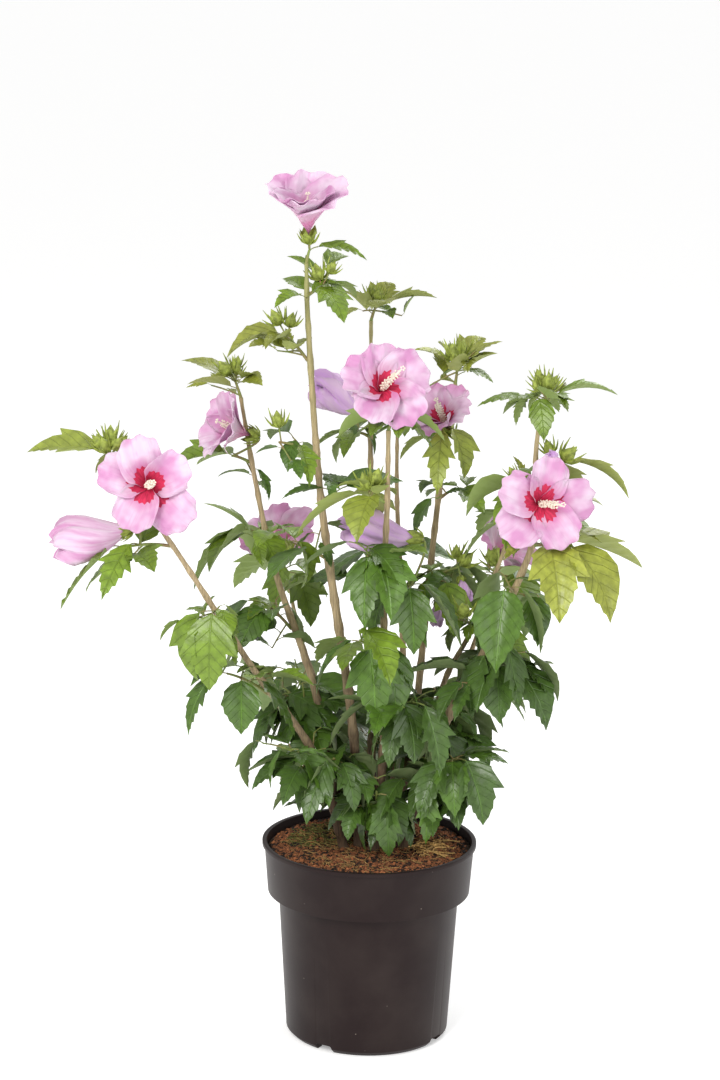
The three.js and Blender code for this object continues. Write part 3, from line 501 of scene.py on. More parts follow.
def leaf_draft(row, twig, number, dice):
    """A spray's leaf before its heading is settled."""
    fan, size, tilt, droop, roll, width, petiole = [dice.roll() for _ in range(7)]
    side = 1 if number % 2 else -1
    level_turn = side * between(FAN, fan) * min(number, 1) * (math.ceil(number / 2) + 1) / 2
    length = row.longest * (between(SIDE_LENGTH, size) if number else 1)
    return {
        "stem": twig.point(FIRST_LEAF - LEAF_SPREAD * number / row.leaves),
        "heading": row.toward + (number * GOLDEN_TURN if twig.upright else level_turn),
        "petiole": length * between(PETIOLE_SHARE, petiole),
        "rise": -row.hang + (between(SIDE_RISE, tilt) if number else 0),
        "bend": -between(DROOP, droop),
        "roll": between(ROLL, roll),
        "length": length,
        "wide": between(WIDTH, width),
    }


def turned_leaf(draft, turn):
    heading = draft["heading"] + turn
    rise = PETIOLE_RISE + draft["rise"] * PETIOLE_FOLLOW
    foot = draft["stem"] + pointing(heading, rise) * draft["petiole"]
    return {**draft, "foot": foot, "out": level(heading), "side": level(heading + 90)}


def placed_leaf(draft, space, spray, rooms):
    """The leaf at the first turn that has room, or None."""
    for turn in TURNS:
        leaf = turned_leaf(draft, turn)
        spots = leaf_points(leaf, SPOTS)
        if space.has_room(spots, spray, *rooms):
            space.fill(spots, spray)
            return leaf
    return None


def bud_points(bud):
    return np.array([bud["foot"], bud["foot"] + bud["way"] * bud["length"]])


def plan_spray(index, row, limbs, space):
    dice = Dice(index)
    twig = TwigLine(row, limbs[row.limb])
    drafts = [leaf_draft(row, twig, number, dice) for number in range(row.leaves)]
    rooms = (LEAF_ROOM, OWN_ROOM, BARK_ROOM, PETAL_ROOM)
    leaves = [leaf for leaf in (placed_leaf(draft, space, index, rooms) for draft in drafts) if leaf]
    buds = []
    for number in range(row.buds):
        way = pointing(row.toward + number * GOLDEN_TURN, dice.pick(BUD_RISE))
        stem = twig.point(FIRST_LEAF)
        foot = stem + way * dice.pick(BUD_STALK)
        buds.append({"stem": stem, "foot": foot, "way": way, "length": dice.pick(BUD_LENGTH)})
    buds = [bud for bud in buds if not hides_bloom(bud_points(bud))]
    fallen = SHOOT_HABIT[row.tone]["fallen"]
    shown = [leaf for leaf in leaves if dice.roll() >= fallen and not hides_bloom(leaf_points(leaf, SPOTS))]
    if twig.upright and row.name not in BLOOMS:
        shown = [{**leaf, "rise": leaf["rise"] + dice.pick(TIP_LIFT)} for leaf in shown]
    return {"name": row.name, "row": row, "twig": twig, "leaves": leaves, "shown": shown, "buds": buds,
            "tone": row.tone, "shoots": []}


def hides_bloom(spots):
    """Whether any spot stands in front of an open bloom's heart."""
    for name, bloom in BLOOMS.items():
        if name in FURLED + FADED:
            continue
        away = spots - np.array(bloom["seat"], float)
        ahead = away @ pointing(*bloom["faces"])
        aside = np.sqrt(np.maximum(0, (away**2).sum(axis=1) - ahead**2))
        near = (ahead > 0) & (ahead < VIEW_DEPTH * bloom["petal"])
        if np.any(near & (aside < VIEW_RADIUS * bloom["petal"])):
            return True
    return False


class Within:
    """A space with the reach of one spray round it."""

    def __init__(self, space, centre, reach, highest):
        self.space, self.centre, self.reach, self.highest = space, centre, reach, highest

    def has_room(self, spots, *rooms):
        near = np.linalg.norm(spots - self.centre, axis=1).max() < self.reach
        if not near or spots[:, 2].max() > self.highest or hides_bloom(spots):
            return False
        return self.space.has_room(spots, *rooms)

    def fill(self, spots, spray):
        self.space.fill(spots, spray)


def plan_shoots(index, spray, space):
    """Short shoots with smaller leaves, within the reach of the spray's own leaves."""
    if not spray["leaves"]:
        return
    dice = Dice(SHOOT_SEED + index)
    row, twig, habit = spray["row"], spray["twig"], SHOOT_HABIT[spray["tone"]]
    tips = np.concatenate([leaf_points(leaf, SPOTS) for leaf in spray["leaves"]])
    reach = np.linalg.norm(tips - twig.root, axis=1).max()
    highest = tips[:, 2].max() + (0 if twig.upright else SHOOT_ABOVE)
    near = Within(space, twig.root, reach, highest)
    rooms = (FINE_LEAF_ROOM, FINE_LEAF_ROOM, FINE_BARK_ROOM, FINE_PETAL_ROOM)
    growth = bpy.context.scene.hibiscus_crown.growth
    for number in range(round(habit["tries"] * growth * len(spray["leaves"]))):
        root = twig.point(dice.pick(SHOOT_SHARE))
        side = 1 if number % 2 else -1
        toward = row.toward + (number * GOLDEN_TURN if twig.upright else side * dice.pick(SHOOT_FAN))
        tip = root + pointing(toward, dice.pick(SHOOT_RISE)) * dice.pick(SHOOT_REACH)
        tone = habit["other"] if dice.roll() < OTHER_TONE_SHARE else spray["tone"]
        leaves = []
        for place in range(SHOOT_LEAVES):
            length = row.longest * dice.pick(habit["leaf"])
            draft = {
                "stem": between((root, tip), 1 - SHOOT_LEAF_STEP * place),
                "heading": toward + place * GOLDEN_TURN,
                "petiole": length * dice.pick(PETIOLE_SHARE),
                "rise": -dice.pick(habit["hang"]),
                "bend": -dice.pick(DROOP),
                "roll": dice.pick(ROLL),
                "length": length,
                "wide": dice.pick(WIDTH),
            }
            leaf = placed_leaf(draft, near, index, rooms)
            if leaf:
                leaves.append(leaf)
        if leaves:
            spray["shoots"].append({"root": root, "tip": tip, "leaves": leaves, "tone": tone})


@cache
def plan_plant():
    """The plant's limbs and sprays, grown once for the operators that need them."""
    limbs = {}
    for row in LIMBS:
        limbs[row["name"]] = Limb(row, limbs)
    space = Space(limbs)
    rows = [SprayRow(*values) for values in SPRAYS]
    sprays = [plan_spray(index, row, limbs, space) for index, row in enumerate(rows)]
    for index, spray in enumerate(sprays):
        plan_shoots(index, spray, space)
    return limbs, sprays


# --- Meshes ---

SHARP_ANGLE = 80  # from which an edge shows as sharp


class Heap:
    """Many small shapes gathered into one mesh, with a place on each shape for its material."""

    def __init__(self):
        self.points, self.faces, self.slots, self.places = [], [], [], []

    def add(self, points, faces, slots=None, places=None):
        base = len(self.points)
        self.points.extend(points)
        self.faces.extend([tuple(base + corner for corner in face) for face in faces])
        self.slots.extend(slots or [0] * len(faces))
        self.places.extend(places or [(0, 0)] * len(points))

    def piece(self, name, materials):
        mesh = bpy.data.meshes.new(name)
        mesh.from_pydata([tuple(float(part) * MM for part in point) for point in self.points], [], self.faces)
        for material in materials:
            mesh.materials.append(material)
        mesh.polygons.foreach_set("material_index", self.slots)
        corners = np.empty(len(mesh.loops), int)
        mesh.loops.foreach_get("vertex_index", corners)
        layer = mesh.uv_layers.new(name="place")
        layer.data.foreach_set("uv", np.array(self.places, float)[corners].ravel())
        mesh.shade_smooth()
        mesh.set_sharp_from_angle(angle=math.radians(SHARP_ANGLE))
        mesh.update()
        return linked(name, mesh)


def linked(name, mesh):
    piece = bpy.data.objects.new(name, mesh)
    bpy.context.collection.objects.link(piece)
    return piece


def mesh_of(shape, name):
    """A bmesh as mesh data. The bmesh goes."""
    mesh = bpy.data.meshes.new(name)
    shape.to_mesh(mesh)
    shape.free()
    return mesh


def as_mesh(source, name):
    """The evaluated shape of an object as a plain piece. The source goes."""
    depsgraph = bpy.context.evaluated_depsgraph_get()
    mesh = bpy.data.meshes.new_from_object(source.evaluated_get(depsgraph), depsgraph=depsgraph)
    mesh.name = name
    bpy.data.objects.remove(source)
    return linked(name, mesh)


def spray_nodes(names):
    return [f"{name}_spray" for name in names]


def dress(piece, slot, *nodes):
    """The piece rides on the plant's body and stands for the nodes."""
    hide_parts(*nodes)
    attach(piece, BODY)


def ring_faces(rings, sides, closed_end=True):
    """Faces between rings of points, with a cap at the start and, if wanted, at the end."""
    faces = [
        (ring * sides + side, ring * sides + (side + 1) % sides,
         (ring + 1) * sides + (side + 1) % sides, (ring + 1) * sides + side)
        for ring in range(rings - 1)
        for side in range(sides)
    ]
    faces.append(tuple(range(sides))[::-1])
    if closed_end:
        faces.append(tuple((rings - 1) * sides + side for side in range(sides)))
    return faces


def tube_shape(path, radii, sides):
    """Points and faces of a closed tube along a path."""
    path = np.array(path, float)
    axes = np.gradient(path, axis=0)
    axes /= np.linalg.norm(axes, axis=1)[:, None]
    hint = np.array([0.31, 0.52, 0.79]) if abs(axes[0] @ UP) > 0.9 else UP
    turns = np.arange(sides) * 2 * math.pi / sides
    points = []
    for centre, axis, radius in zip(path, axes, radii):
        first = square_to(axis, hint)
        second = np.cross(axis, first)
        ring = np.outer(np.cos(turns), first) + np.outer(np.sin(turns), second)
        points.extend(centre + ring * radius)
    return points, ring_faces(len(path), sides)


def lathe_shape(profile, sides):
    """Points and faces of a closed solid of revolution, whose profile starts and ends on +Z."""
    points = [(0, 0, profile[0][1])]
    for radius, height in profile[1:-1]:
        for corner in range(sides):
            angle = corner * 2 * math.pi / sides
            points.append((radius * math.cos(angle), radius * math.sin(angle), height))
    points.append((0, 0, profile[-1][1]))
    faces = []
    last = len(points) - 1
    for corner in range(sides):
        following = (corner + 1) % sides
        faces.append((0, 1 + following, 1 + corner))
        faces.append((last, last - sides + corner, last - sides + following))
        for ring in range(len(profile) - 3):
            low, high = 1 + ring * sides, 1 + (ring + 1) * sides
            faces.append((low + corner, low + following, high + following, high + corner))
    return points, faces


# --- Node trees ---

def add(tree, kind, inputs=None, **settings):
    """Add a node with its settings, and set or link its inputs."""
    node = tree.nodes.new(kind)
    for name, value in settings.items():
        setattr(node, name, value)
    give(tree, node, inputs or {})
    return node


def give(tree, node, inputs):
    """Set or link a node's inputs. Another node is linked from its first output in use."""
    for name, value in inputs.items():
        if isinstance(value, bpy.types.Node):
            value = next(output for output in value.outputs if output.enabled)
        if isinstance(value, bpy.types.NodeSocket):
            tree.links.new(value, node.inputs[name])
        else:
            node.inputs[name].default_value = value


def linear(hex_colour):
    """An sRGB hex colour as linear red, green, blue and alpha."""
    parts = [int(hex_colour[at:at + 2], 16) / 255 for at in (1, 3, 5)]
    return (*[part / 12.92 if part <= 0.04045 else ((part + 0.055) / 1.055) ** 2.4 for part in parts], 1)


def shaded(colour, share):
    """A linear colour made darker, below 1, or lighter."""
    return (*[min(1.0, part * share) for part in colour[:3]], 1)


def blended(first, second, share):
    """A linear colour between two others."""
    return (*[between((one, other), share) for one, other in zip(first[:3], second[:3])], 1)


def new_material(name, **shader_values):
    """A material with one Principled shader, whose named inputs take the values."""
    material = bpy.data.materials.new(name)
    material.use_nodes = True
    tree = material.node_tree
    shader = tree.nodes["Principled BSDF"]
    give(tree, shader, {label.replace("_", " "): value for label, value in shader_values.items()})
    return material, tree, shader


def paint(tree, shader, colour, relief=None, depth=None):
    """Link a colour, and a relief of some millimetres, to the shader."""
    give(tree, shader, {"Base Color": colour})
    if relief is not None:
        raised = add(tree, "ShaderNodeBump", {"Height": relief, "Distance": depth * MM, "Strength": 1.0})
        give(tree, shader, {"Normal": raised})


def two_tone(tree, shader, pattern, first, second, ends=None, depth=None):
    """Paint a shader from one colour to another as a pattern rises between two values. The
    pattern, where it has a depth, is the relief too."""
    share = pattern
    if ends:
        share = add(tree, "ShaderNodeMapRange", {"Value": pattern, "From Min": ends[0], "From Max": ends[1]})
    colour = add(tree, "ShaderNodeMix", {0: share, 6: first, 7: second}, data_type="RGBA")
    paint(tree, shader, colour, pattern if depth else None, depth)


# --- Materials ---

def leaf_upper(tone, colour, gloss):
    """Leaf blade, upper side: waxy and glossy, with sunk veins and a swell between them."""
    material, tree, shader = new_material(f"leaf upper side, {tone}", Roughness=1 - gloss, IOR=1.5)
    place = add(tree, "ShaderNodeUVMap", uv_map="place")
    split = add(tree, "ShaderNodeSeparateXYZ", {0: place}).outputs
    centred = add(tree, "ShaderNodeMath", {0: split[1], 1: 0.5}, operation="SUBTRACT")
    aside = add(tree, "ShaderNodeMath", {0: centred}, operation="ABSOLUTE")
    midrib = add(tree, "ShaderNodeMapRange", {"Value": aside, "From Min": 0.014, "From Max": 0.004})
    sweep = add(tree, "ShaderNodeMath", {0: aside, 1: VEIN_SWEEP}, operation="MULTIPLY")
    phase = add(tree, "ShaderNodeMath", {0: split[0], 1: sweep}, operation="SUBTRACT")
    shifted = add(tree, "ShaderNodeMath", {0: phase, 1: 1.0}, operation="ADD")
    wave = add(tree, "ShaderNodeMath", {0: shifted, 1: 0.075}, operation="PINGPONG")
    side_vein = add(tree, "ShaderNodeMapRange", {"Value": wave, "From Min": 0.011, "From Max": 0.002})
    vein = add(tree, "ShaderNodeMath", {0: midrib, 1: side_vein}, operation="MAXIMUM")
    where = add(tree, "ShaderNodeTexCoord").outputs["Object"]
    mottle = add(tree, "ShaderNodeTexNoise", {"Vector": where, "Scale": 1 / (9 * MM), "Detail": 3.0})
    net = add(tree, "ShaderNodeTexVoronoi", {"Vector": where, "Scale": 1 / (3.2 * MM)})
    spread = add(tree, "ShaderNodeMapRange", {"Value": mottle, "From Min": 0.35, "From Max": 0.7})
    pair = {0: spread, 6: shaded(colour, 0.72), 7: shaded(colour, 1.25)}
    base = add(tree, "ShaderNodeMix", pair, data_type="RGBA")
    island = add(tree, "ShaderNodeNewGeometry").outputs["Random Per Island"]
    vary = add(tree, "ShaderNodeMath", {0: island, 1: 0.6}, operation="MULTIPLY")
    pair = {0: vary, 6: base, 7: shaded(colour, 0.5)}
    varied = add(tree, "ShaderNodeMix", pair, data_type="RGBA")
    # Old leaves have a paler midrib alone, and young ones a net of darker veins.
    old = tone in ("deep", "green")
    shown = midrib if old else vein
    light = add(tree, "ShaderNodeMath", {0: shown, 1: 0.45}, operation="MULTIPLY")
    tint = shaded(colour, 1.8 if old else 0.5)
    veined = add(tree, "ShaderNodeMix", {0: light, 6: varied, 7: tint}, data_type="RGBA")
    ridged = add(tree, "ShaderNodeMath", {0: net.outputs["Distance"], 1: -0.35}, operation="MULTIPLY")
    relief = add(tree, "ShaderNodeMath", {0: ridged, 1: vein}, operation="SUBTRACT")
    paint(tree, shader, veined, relief, 0.4)
    return material


def leaf_under(tone, colour):
    """Leaf blade, underside: paler, greyer and matt."""
    material, tree, shader = new_material(f"leaf underside, {tone}", Roughness=0.66, IOR=1.4)
    grey = linear("#a6b083")
    where = add(tree, "ShaderNodeTexCoord").outputs["Object"]
    mottle = add(tree, "ShaderNodeTexNoise", {"Vector": where, "Scale": 1 / (9 * MM), "Detail": 3.0})
    two_tone(tree, shader, mottle, blended(colour, grey, 0.2), blended(colour, grey, 0.55))
    return material


def stem_bark():
    """Young hibiscus bark: smooth and tan, cracked lengthwise and brown at the foot, green on top."""
    colours = bpy.context.scene.hibiscus_limbs
    material, tree, shader = new_material("hibiscus bark", Roughness=0.7, IOR=1.45)
    where = add(tree, "ShaderNodeTexCoord").outputs["Object"]
    drawn = add(tree, "ShaderNodeMapping", {"Vector": where, "Scale": (1, 1, 0.08)})
    fine = {"Vector": drawn, "Scale": 1 / (1.4 * MM), "Detail": 5.0}
    streaks = add(tree, "ShaderNodeTexNoise", fine)
    patches = add(tree, "ShaderNodeTexNoise", {"Vector": where, "Scale": 1 / (14 * MM)})
    height = add(tree, "ShaderNodeSeparateXYZ", {0: where}).outputs["Z"]
    crack = add(tree, "ShaderNodeMapRange", {"Value": streaks, "From Min": 0.33, "From Max": 0.66})
    tan, brown = (*colours.tan, 1), (*colours.brown, 1)
    pair = {0: crack, 6: shaded(tan, 0.6), 7: shaded(tan, 1.1)}
    young = add(tree, "ShaderNodeMix", pair, data_type="RGBA")
    pair = {0: crack, 6: shaded(brown, 0.5), 7: shaded(brown, 1.4)}
    old = add(tree, "ShaderNodeMix", pair, data_type="RGBA")
    uneven = add(tree, "ShaderNodeMath", {0: patches, 1: 0.2, 2: height}, operation="MULTIPLY_ADD")
    age = add(tree, "ShaderNodeMapRange", {"Value": uneven, "From Min": 0.38, "From Max": 0.56})
    bark = add(tree, "ShaderNodeMix", {0: age, 6: old, 7: young}, data_type="RGBA")
    youth = add(tree, "ShaderNodeMapRange", {"Value": height, "From Min": 0.62, "From Max": 0.9})
    green = add(tree, "ShaderNodeMix", {0: youth, 6: bark, 7: linear("#8f9658")}, data_type="RGBA")
    paint(tree, shader, green, streaks, 0.5)
    return material


def green_wood():
    """This year's twigs and petioles: green, reddened here and there."""
    material, tree, shader = new_material("green hibiscus twig", Roughness=0.5, IOR=1.45)
    where = add(tree, "ShaderNodeTexCoord").outputs["Object"]
    blotch = add(tree, "ShaderNodeTexNoise", {"Vector": where, "Scale": 1 / (14 * MM)})
    two_tone(tree, shader, blotch, linear("#7b8b45"), linear("#8c7350"), (0.4, 0.7), 0.2)
    return material


def petal_pink():
    """Petals: thin, silky and pleated, lavender pink with near-white parts, rose round the eye."""
    colours = bpy.context.scene.hibiscus_flowers
    petal, pale, flush = (*colours.petal, 1), (*colours.pale, 1), (*colours.flush, 1)
    material, tree, shader = new_material("hibiscus petal", Roughness=0.5, IOR=1.36, Sheen_Weight=0.15,
                                          Subsurface_Weight=0.4, Subsurface_Scale=2 * MM,
                                          Subsurface_Radius=(1, 0.8, 0.95))
    place = add(tree, "ShaderNodeUVMap", uv_map="place")
    along = add(tree, "ShaderNodeSeparateXYZ", {0: place}).outputs["X"]
    fan = add(tree, "ShaderNodeMapping", {"Vector": place, "Scale": (0.1, 1, 1)})
    pleats = add(tree, "ShaderNodeTexNoise", {"Vector": fan, "Scale": 18.0, "Detail": 2.0})
    where = add(tree, "ShaderNodeTexCoord").outputs["Object"]
    cloud = add(tree, "ShaderNodeTexNoise", {"Vector": where, "Scale": 1 / (24 * MM)})
    soft = add(tree, "ShaderNodeMapRange", {"Value": cloud, "From Min": 0.38, "From Max": 0.64})
    base = add(tree, "ShaderNodeMix", {0: soft, 6: petal, 7: pale}, data_type="RGBA")
    ray = add(tree, "ShaderNodeMapRange",
              {"Value": pleats, "From Min": 0.55, "From Max": 0.75, "To Max": 0.55})
    rayed = add(tree, "ShaderNodeMix", {0: ray, 6: base, 7: petal}, data_type="RGBA")
    near = add(tree, "ShaderNodeMapRange",
               {"Value": along, "From Min": 0.66, "From Max": 0.34, "To Max": 0.8})
    spread = add(tree, "ShaderNodeMath", {0: near, 1: pleats}, operation="MULTIPLY")
    glow = add(tree, "ShaderNodeMath", {0: spread, 1: 1.6}, operation="MULTIPLY", use_clamp=True)
    flushed = add(tree, "ShaderNodeMix", {0: glow, 6: rayed, 7: flush}, data_type="RGBA")
    paint(tree, shader, flushed, pleats, 0.5)
    return material


def petal_eye():
    """The crimson eye at the petals' feet, velvety, with darker rays."""
    crimson = (*bpy.context.scene.hibiscus_flowers.eye, 1)
    material, tree, shader = new_material("petal eye", Roughness=0.6, IOR=1.36)
    place = add(tree, "ShaderNodeUVMap", uv_map="place")
    fan = add(tree, "ShaderNodeMapping", {"Vector": place, "Scale": (0.3, 1, 1)})
    rays = add(tree, "ShaderNodeTexNoise", {"Vector": fan, "Scale": 20.0, "Detail": 2.0})
    two_tone(tree, shader, rays, shaded(crimson, 0.7), shaded(crimson, 1.2), (0.3, 0.7), 0.4)
    return material


def creased_petal(name, dull, pale):
    """Furled or spent petals: limp, wound round each other and creased lengthwise."""
    material, tree, shader = new_material(name, Roughness=0.58, IOR=1.36, Sheen_Weight=0.15)
    place = add(tree, "ShaderNodeUVMap", uv_map="place")
    drawn = add(tree, "ShaderNodeMapping", {"Vector": place, "Scale": (0.5, 6, 1)})
    creases = add(tree, "ShaderNodeTexNoise", {"Vector": drawn, "Scale": 3.0, "Detail": 3.0})
    two_tone(tree, shader, creases, (*dull, 1), (*pale, 1), (0.35, 0.6), 1)
    return material


def pollen_column():
    """The column and its anthers: dry, cream, powdered with pollen."""
    cream = (*bpy.context.scene.hibiscus_flowers.cream, 1)
    material, tree, shader = new_material("cream pollen column", Roughness=0.8, IOR=1.4)
    where = add(tree, "ShaderNodeTexCoord").outputs["Object"]
    grains = add(tree, "ShaderNodeTexNoise", {"Vector": where, "Scale": 1 / (1.2 * MM)})
    two_tone(tree, shader, grains, shaded(cream, 0.75), shaded(cream, 1.2), depth=0.4)
    return material


def calyx_green():
    """Calyces, bracts and buds: downy, light green."""
    green = (*bpy.context.scene.hibiscus_flowers.calyx, 1)
    material, tree, shader = new_material("downy calyx", Roughness=0.6, IOR=1.4)
    where = add(tree, "ShaderNodeTexCoord").outputs["Object"]
    down = add(tree, "ShaderNodeTexNoise", {"Vector": where, "Scale": 1 / (5 * MM)})
    two_tone(tree, shader, down, shaded(green, 0.6), shaded(green, 1.25), (0.35, 0.65), 0.2)
    return material


def pot_plastic():
    """Recycled polypropylene, thermoformed: near-black brown, satin, with a film and specks of dust."""
    settings = bpy.context.scene.hibiscus_pot
    plastic, dust = (*settings.plastic, 1), (*settings.dust, 1)
    material, tree, shader = new_material("recycled polypropylene", Roughness=0.42, IOR=1.49,
                                          Specular_IOR_Level=0.12)
    where = add(tree, "ShaderNodeTexCoord").outputs["Object"]
    wide = {"Vector": where, "Scale": 1 / (60 * MM), "Detail": 4.0}
    film = add(tree, "ShaderNodeTexNoise", wide)
    thin = add(tree, "ShaderNodeMapRange", {"Value": film, "From Min": 0.4, "From Max": 0.8, "To Max": 0.04})
    pair = {0: thin, 6: plastic, 7: dust}
    filmed = add(tree, "ShaderNodeMix", pair, data_type="RGBA")
    cells = add(tree, "ShaderNodeTexVoronoi", {"Vector": where, "Scale": 1 / (11 * MM)}).outputs
    chance = add(tree, "ShaderNodeSeparateColor", {0: cells["Color"]}).outputs["Red"]
    rare = add(tree, "ShaderNodeMapRange", {"Value": chance, "From Min": 0.8, "From Max": 0.81})
    dot = add(tree, "ShaderNodeMapRange", {"Value": cells["Distance"], "From Min": 0.07, "From Max": 0.04})
    speck = add(tree, "ShaderNodeMath", {0: dot, 1: rare}, operation="MULTIPLY")
    faint = add(tree, "ShaderNodeMath", {0: speck, 1: 0.5}, operation="MULTIPLY")
    dusty = add(tree, "ShaderNodeMix", {0: faint, 6: filmed, 7: dust}, data_type="RGBA")
    fine = {"Vector": where, "Scale": 1 / (1.2 * MM), "Detail": 4.0}
    grain = add(tree, "ShaderNodeTexNoise", fine)
    paint(tree, shader, dusty, grain, 0.06)
    return material


def loose_stuff(name, colour, roughness=0.9):
    """Loose plant matter in the potting mix, each bit a little lighter or darker."""
    material, tree, shader = new_material(name, Roughness=roughness, IOR=1.45)
    island = add(tree, "ShaderNodeNewGeometry").outputs["Random Per Island"]
    where = add(tree, "ShaderNodeTexCoord").outputs["Object"]
    fine = {"Vector": where, "Scale": 1 / (2 * MM), "Detail": 3.0}
    grain = add(tree, "ShaderNodeTexNoise", fine)
    pair = {0: island, 6: shaded(colour, 0.5), 7: shaded(colour, 1.5)}
    bits = add(tree, "ShaderNodeMix", pair, data_type="RGBA")
    share = add(tree, "ShaderNodeMapRange", {"Value": grain, "From Min": 0.3, "From Max": 0.6})
    grained = add(tree, "ShaderNodeMix", {0: share, 6: shaded(colour, 0.35), 7: bits}, data_type="RGBA")
    paint(tree, shader, grained, grain, 0.7)
    return material


def floor_paint(glow):
    """Matt white paint on a floor lit from within, as in a light tent, so that shadows stay faint."""
    material, tree, shader = new_material("matt studio paint", Roughness=0.9, IOR=1.4,
                                          Emission_Color=(1, 1, 1, 1), Emission_Strength=glow)
    where = add(tree, "ShaderNodeTexCoord").outputs["Object"]
    # Rolled paint's grain is too fine to see, so this one is 40 mm across.
    grain = add(tree, "ShaderNodeTexNoise", {"Vector": where, "Scale": 1 / (40 * MM)})
    two_tone(tree, shader, grain, linear("#f2f2f2"), linear("#f5f5f4"))
    return material


# --- Geometry Nodes ---

def new_tree(name, sockets):
    """A tree with geometry in and out and the named inputs, and its input node's outputs."""
    tree = bpy.data.node_groups.new(name, "GeometryNodeTree")
    tree.interface.new_socket("Geometry", in_out="OUTPUT", socket_type="NodeSocketGeometry")
    tree.interface.new_socket("Geometry", in_out="INPUT", socket_type="NodeSocketGeometry")
    for label, kind in sockets.items():
        tree.interface.new_socket(label, in_out="INPUT", socket_type=f"NodeSocket{kind}")
    return tree, add(tree, "NodeGroupInput").outputs


def finish_tree(tree, shape, material):
    """End a tree in Realize Instances and Set Material."""
    real = add(tree, "GeometryNodeRealizeInstances", {0: shape})
    painted = add(tree, "GeometryNodeSetMaterial", {"Geometry": real, "Material": material})
    add(tree, "NodeGroupOutput", {0: painted})


def run_tree(source, tree, values, name):
    """The plain piece that a tree makes of an object."""
    modifier = source.modifiers.new(tree.name, "NODES")
    modifier.node_group = tree
    for item in tree.interface.items_tree:
        if item.in_out == "INPUT" and item.name in values:
            modifier[item.identifier] = values[item.name]
    return as_mesh(source, name)


def bark_tree():
    """Limbs from their lines: a tube of each line's own thickness, with ridges along it."""
    tree, given = new_tree("bark on lines", {"Sides": "Int", "Ring Spacing": "Float", "Relief": "Float",
                                             "Ridge Width": "Float", "Material": "Material"})
    line = add(tree, "GeometryNodeMeshToCurve", {"Mesh": given["Geometry"]})
    rings = add(tree, "GeometryNodeResampleCurve",
                {"Curve": line, "Length": given["Ring Spacing"]}, mode="LENGTH")
    ring = add(tree, "GeometryNodeCurvePrimitiveCircle", {"Resolution": given["Sides"], "Radius": 1.0})
    thickness = add(tree, "GeometryNodeInputNamedAttribute", {"Name": "thickness"}, data_type="FLOAT")
    tube = add(tree, "GeometryNodeCurveToMesh",
               {"Curve": rings, "Profile Curve": ring, "Fill Caps": True,
                "Scale": thickness})
    place = add(tree, "GeometryNodeInputPosition")
    along = add(tree, "ShaderNodeVectorMath", {0: place, 1: (1, 1, 0.12)}, operation="MULTIPLY")
    sharp = add(tree, "ShaderNodeMath", {0: 1.0, 1: given["Ridge Width"]}, operation="DIVIDE")
    ridges = add(tree, "ShaderNodeTexNoise",
                 {"Vector": along, "Scale": sharp, "Detail": 3.0})
    middle = add(tree, "ShaderNodeMath", {0: ridges, 1: 0.5}, operation="SUBTRACT")
    height = add(tree, "ShaderNodeMath", {0: middle, 1: given["Relief"]}, operation="MULTIPLY")
    normal = add(tree, "GeometryNodeInputNormal")
    push = add(tree, "ShaderNodeVectorMath", {0: normal, "Scale": height},
               operation="SCALE")
    raised = add(tree, "GeometryNodeSetPosition",
                 {"Geometry": tube, "Offset": push})
    finish_tree(tree, raised, given["Material"])
    return tree


def scatter_tree():
    """One small thing strewn over a surface, denser near a patch's middle."""
    tree, given = new_tree("strewn things", {
        "Thing": "Object", "Density": "Float", "Seed": "Int", "Least": "Float", "Greatest": "Float",
        "Tilt": "Float", "Patch": "Vector", "Patch Radius": "Float", "Material": "Material"})
    place = add(tree, "GeometryNodeInputPosition")
    away = add(tree, "ShaderNodeVectorMath", {0: place, 1: given["Patch"]}, operation="DISTANCE")
    share = add(tree, "ShaderNodeMath", {0: away.outputs["Value"], 1: given["Patch Radius"]},
                operation="DIVIDE")
    fade = add(tree, "ShaderNodeMapRange", {"Value": share, "From Min": 1.0, "From Max": 0.55})
    dense = add(tree, "ShaderNodeMath", {0: fade, 1: given["Density"]}, operation="MULTIPLY")
    spots = add(tree, "GeometryNodeDistributePointsOnFaces",
                {"Mesh": given["Geometry"], "Density": dense, "Seed": given["Seed"]})
    lean = add(tree, "ShaderNodeMath", {0: given["Tilt"], 1: -1.0}, operation="MULTIPLY")
    least = add(tree, "ShaderNodeCombineXYZ", {0: lean, 1: lean, 2: -3.1416})
    most = add(tree, "ShaderNodeCombineXYZ", {0: given["Tilt"], 1: given["Tilt"], 2: 3.1416})
    turn = add(tree, "FunctionNodeRandomValue",
               {0: least, 1: most, "Seed": given["Seed"]}, data_type="FLOAT_VECTOR")
    size = add(tree, "FunctionNodeRandomValue",
               {2: given["Least"], 3: given["Greatest"], "Seed": given["Seed"]}, data_type="FLOAT")
    thing = add(tree, "GeometryNodeObjectInfo", {"Object": given["Thing"]})
    strewn = add(tree, "GeometryNodeInstanceOnPoints",
                 {"Points": spots, "Instance": thing.outputs["Geometry"],
                  "Rotation": turn, "Scale": size})
    finish_tree(tree, strewn, given["Material"])
    return tree


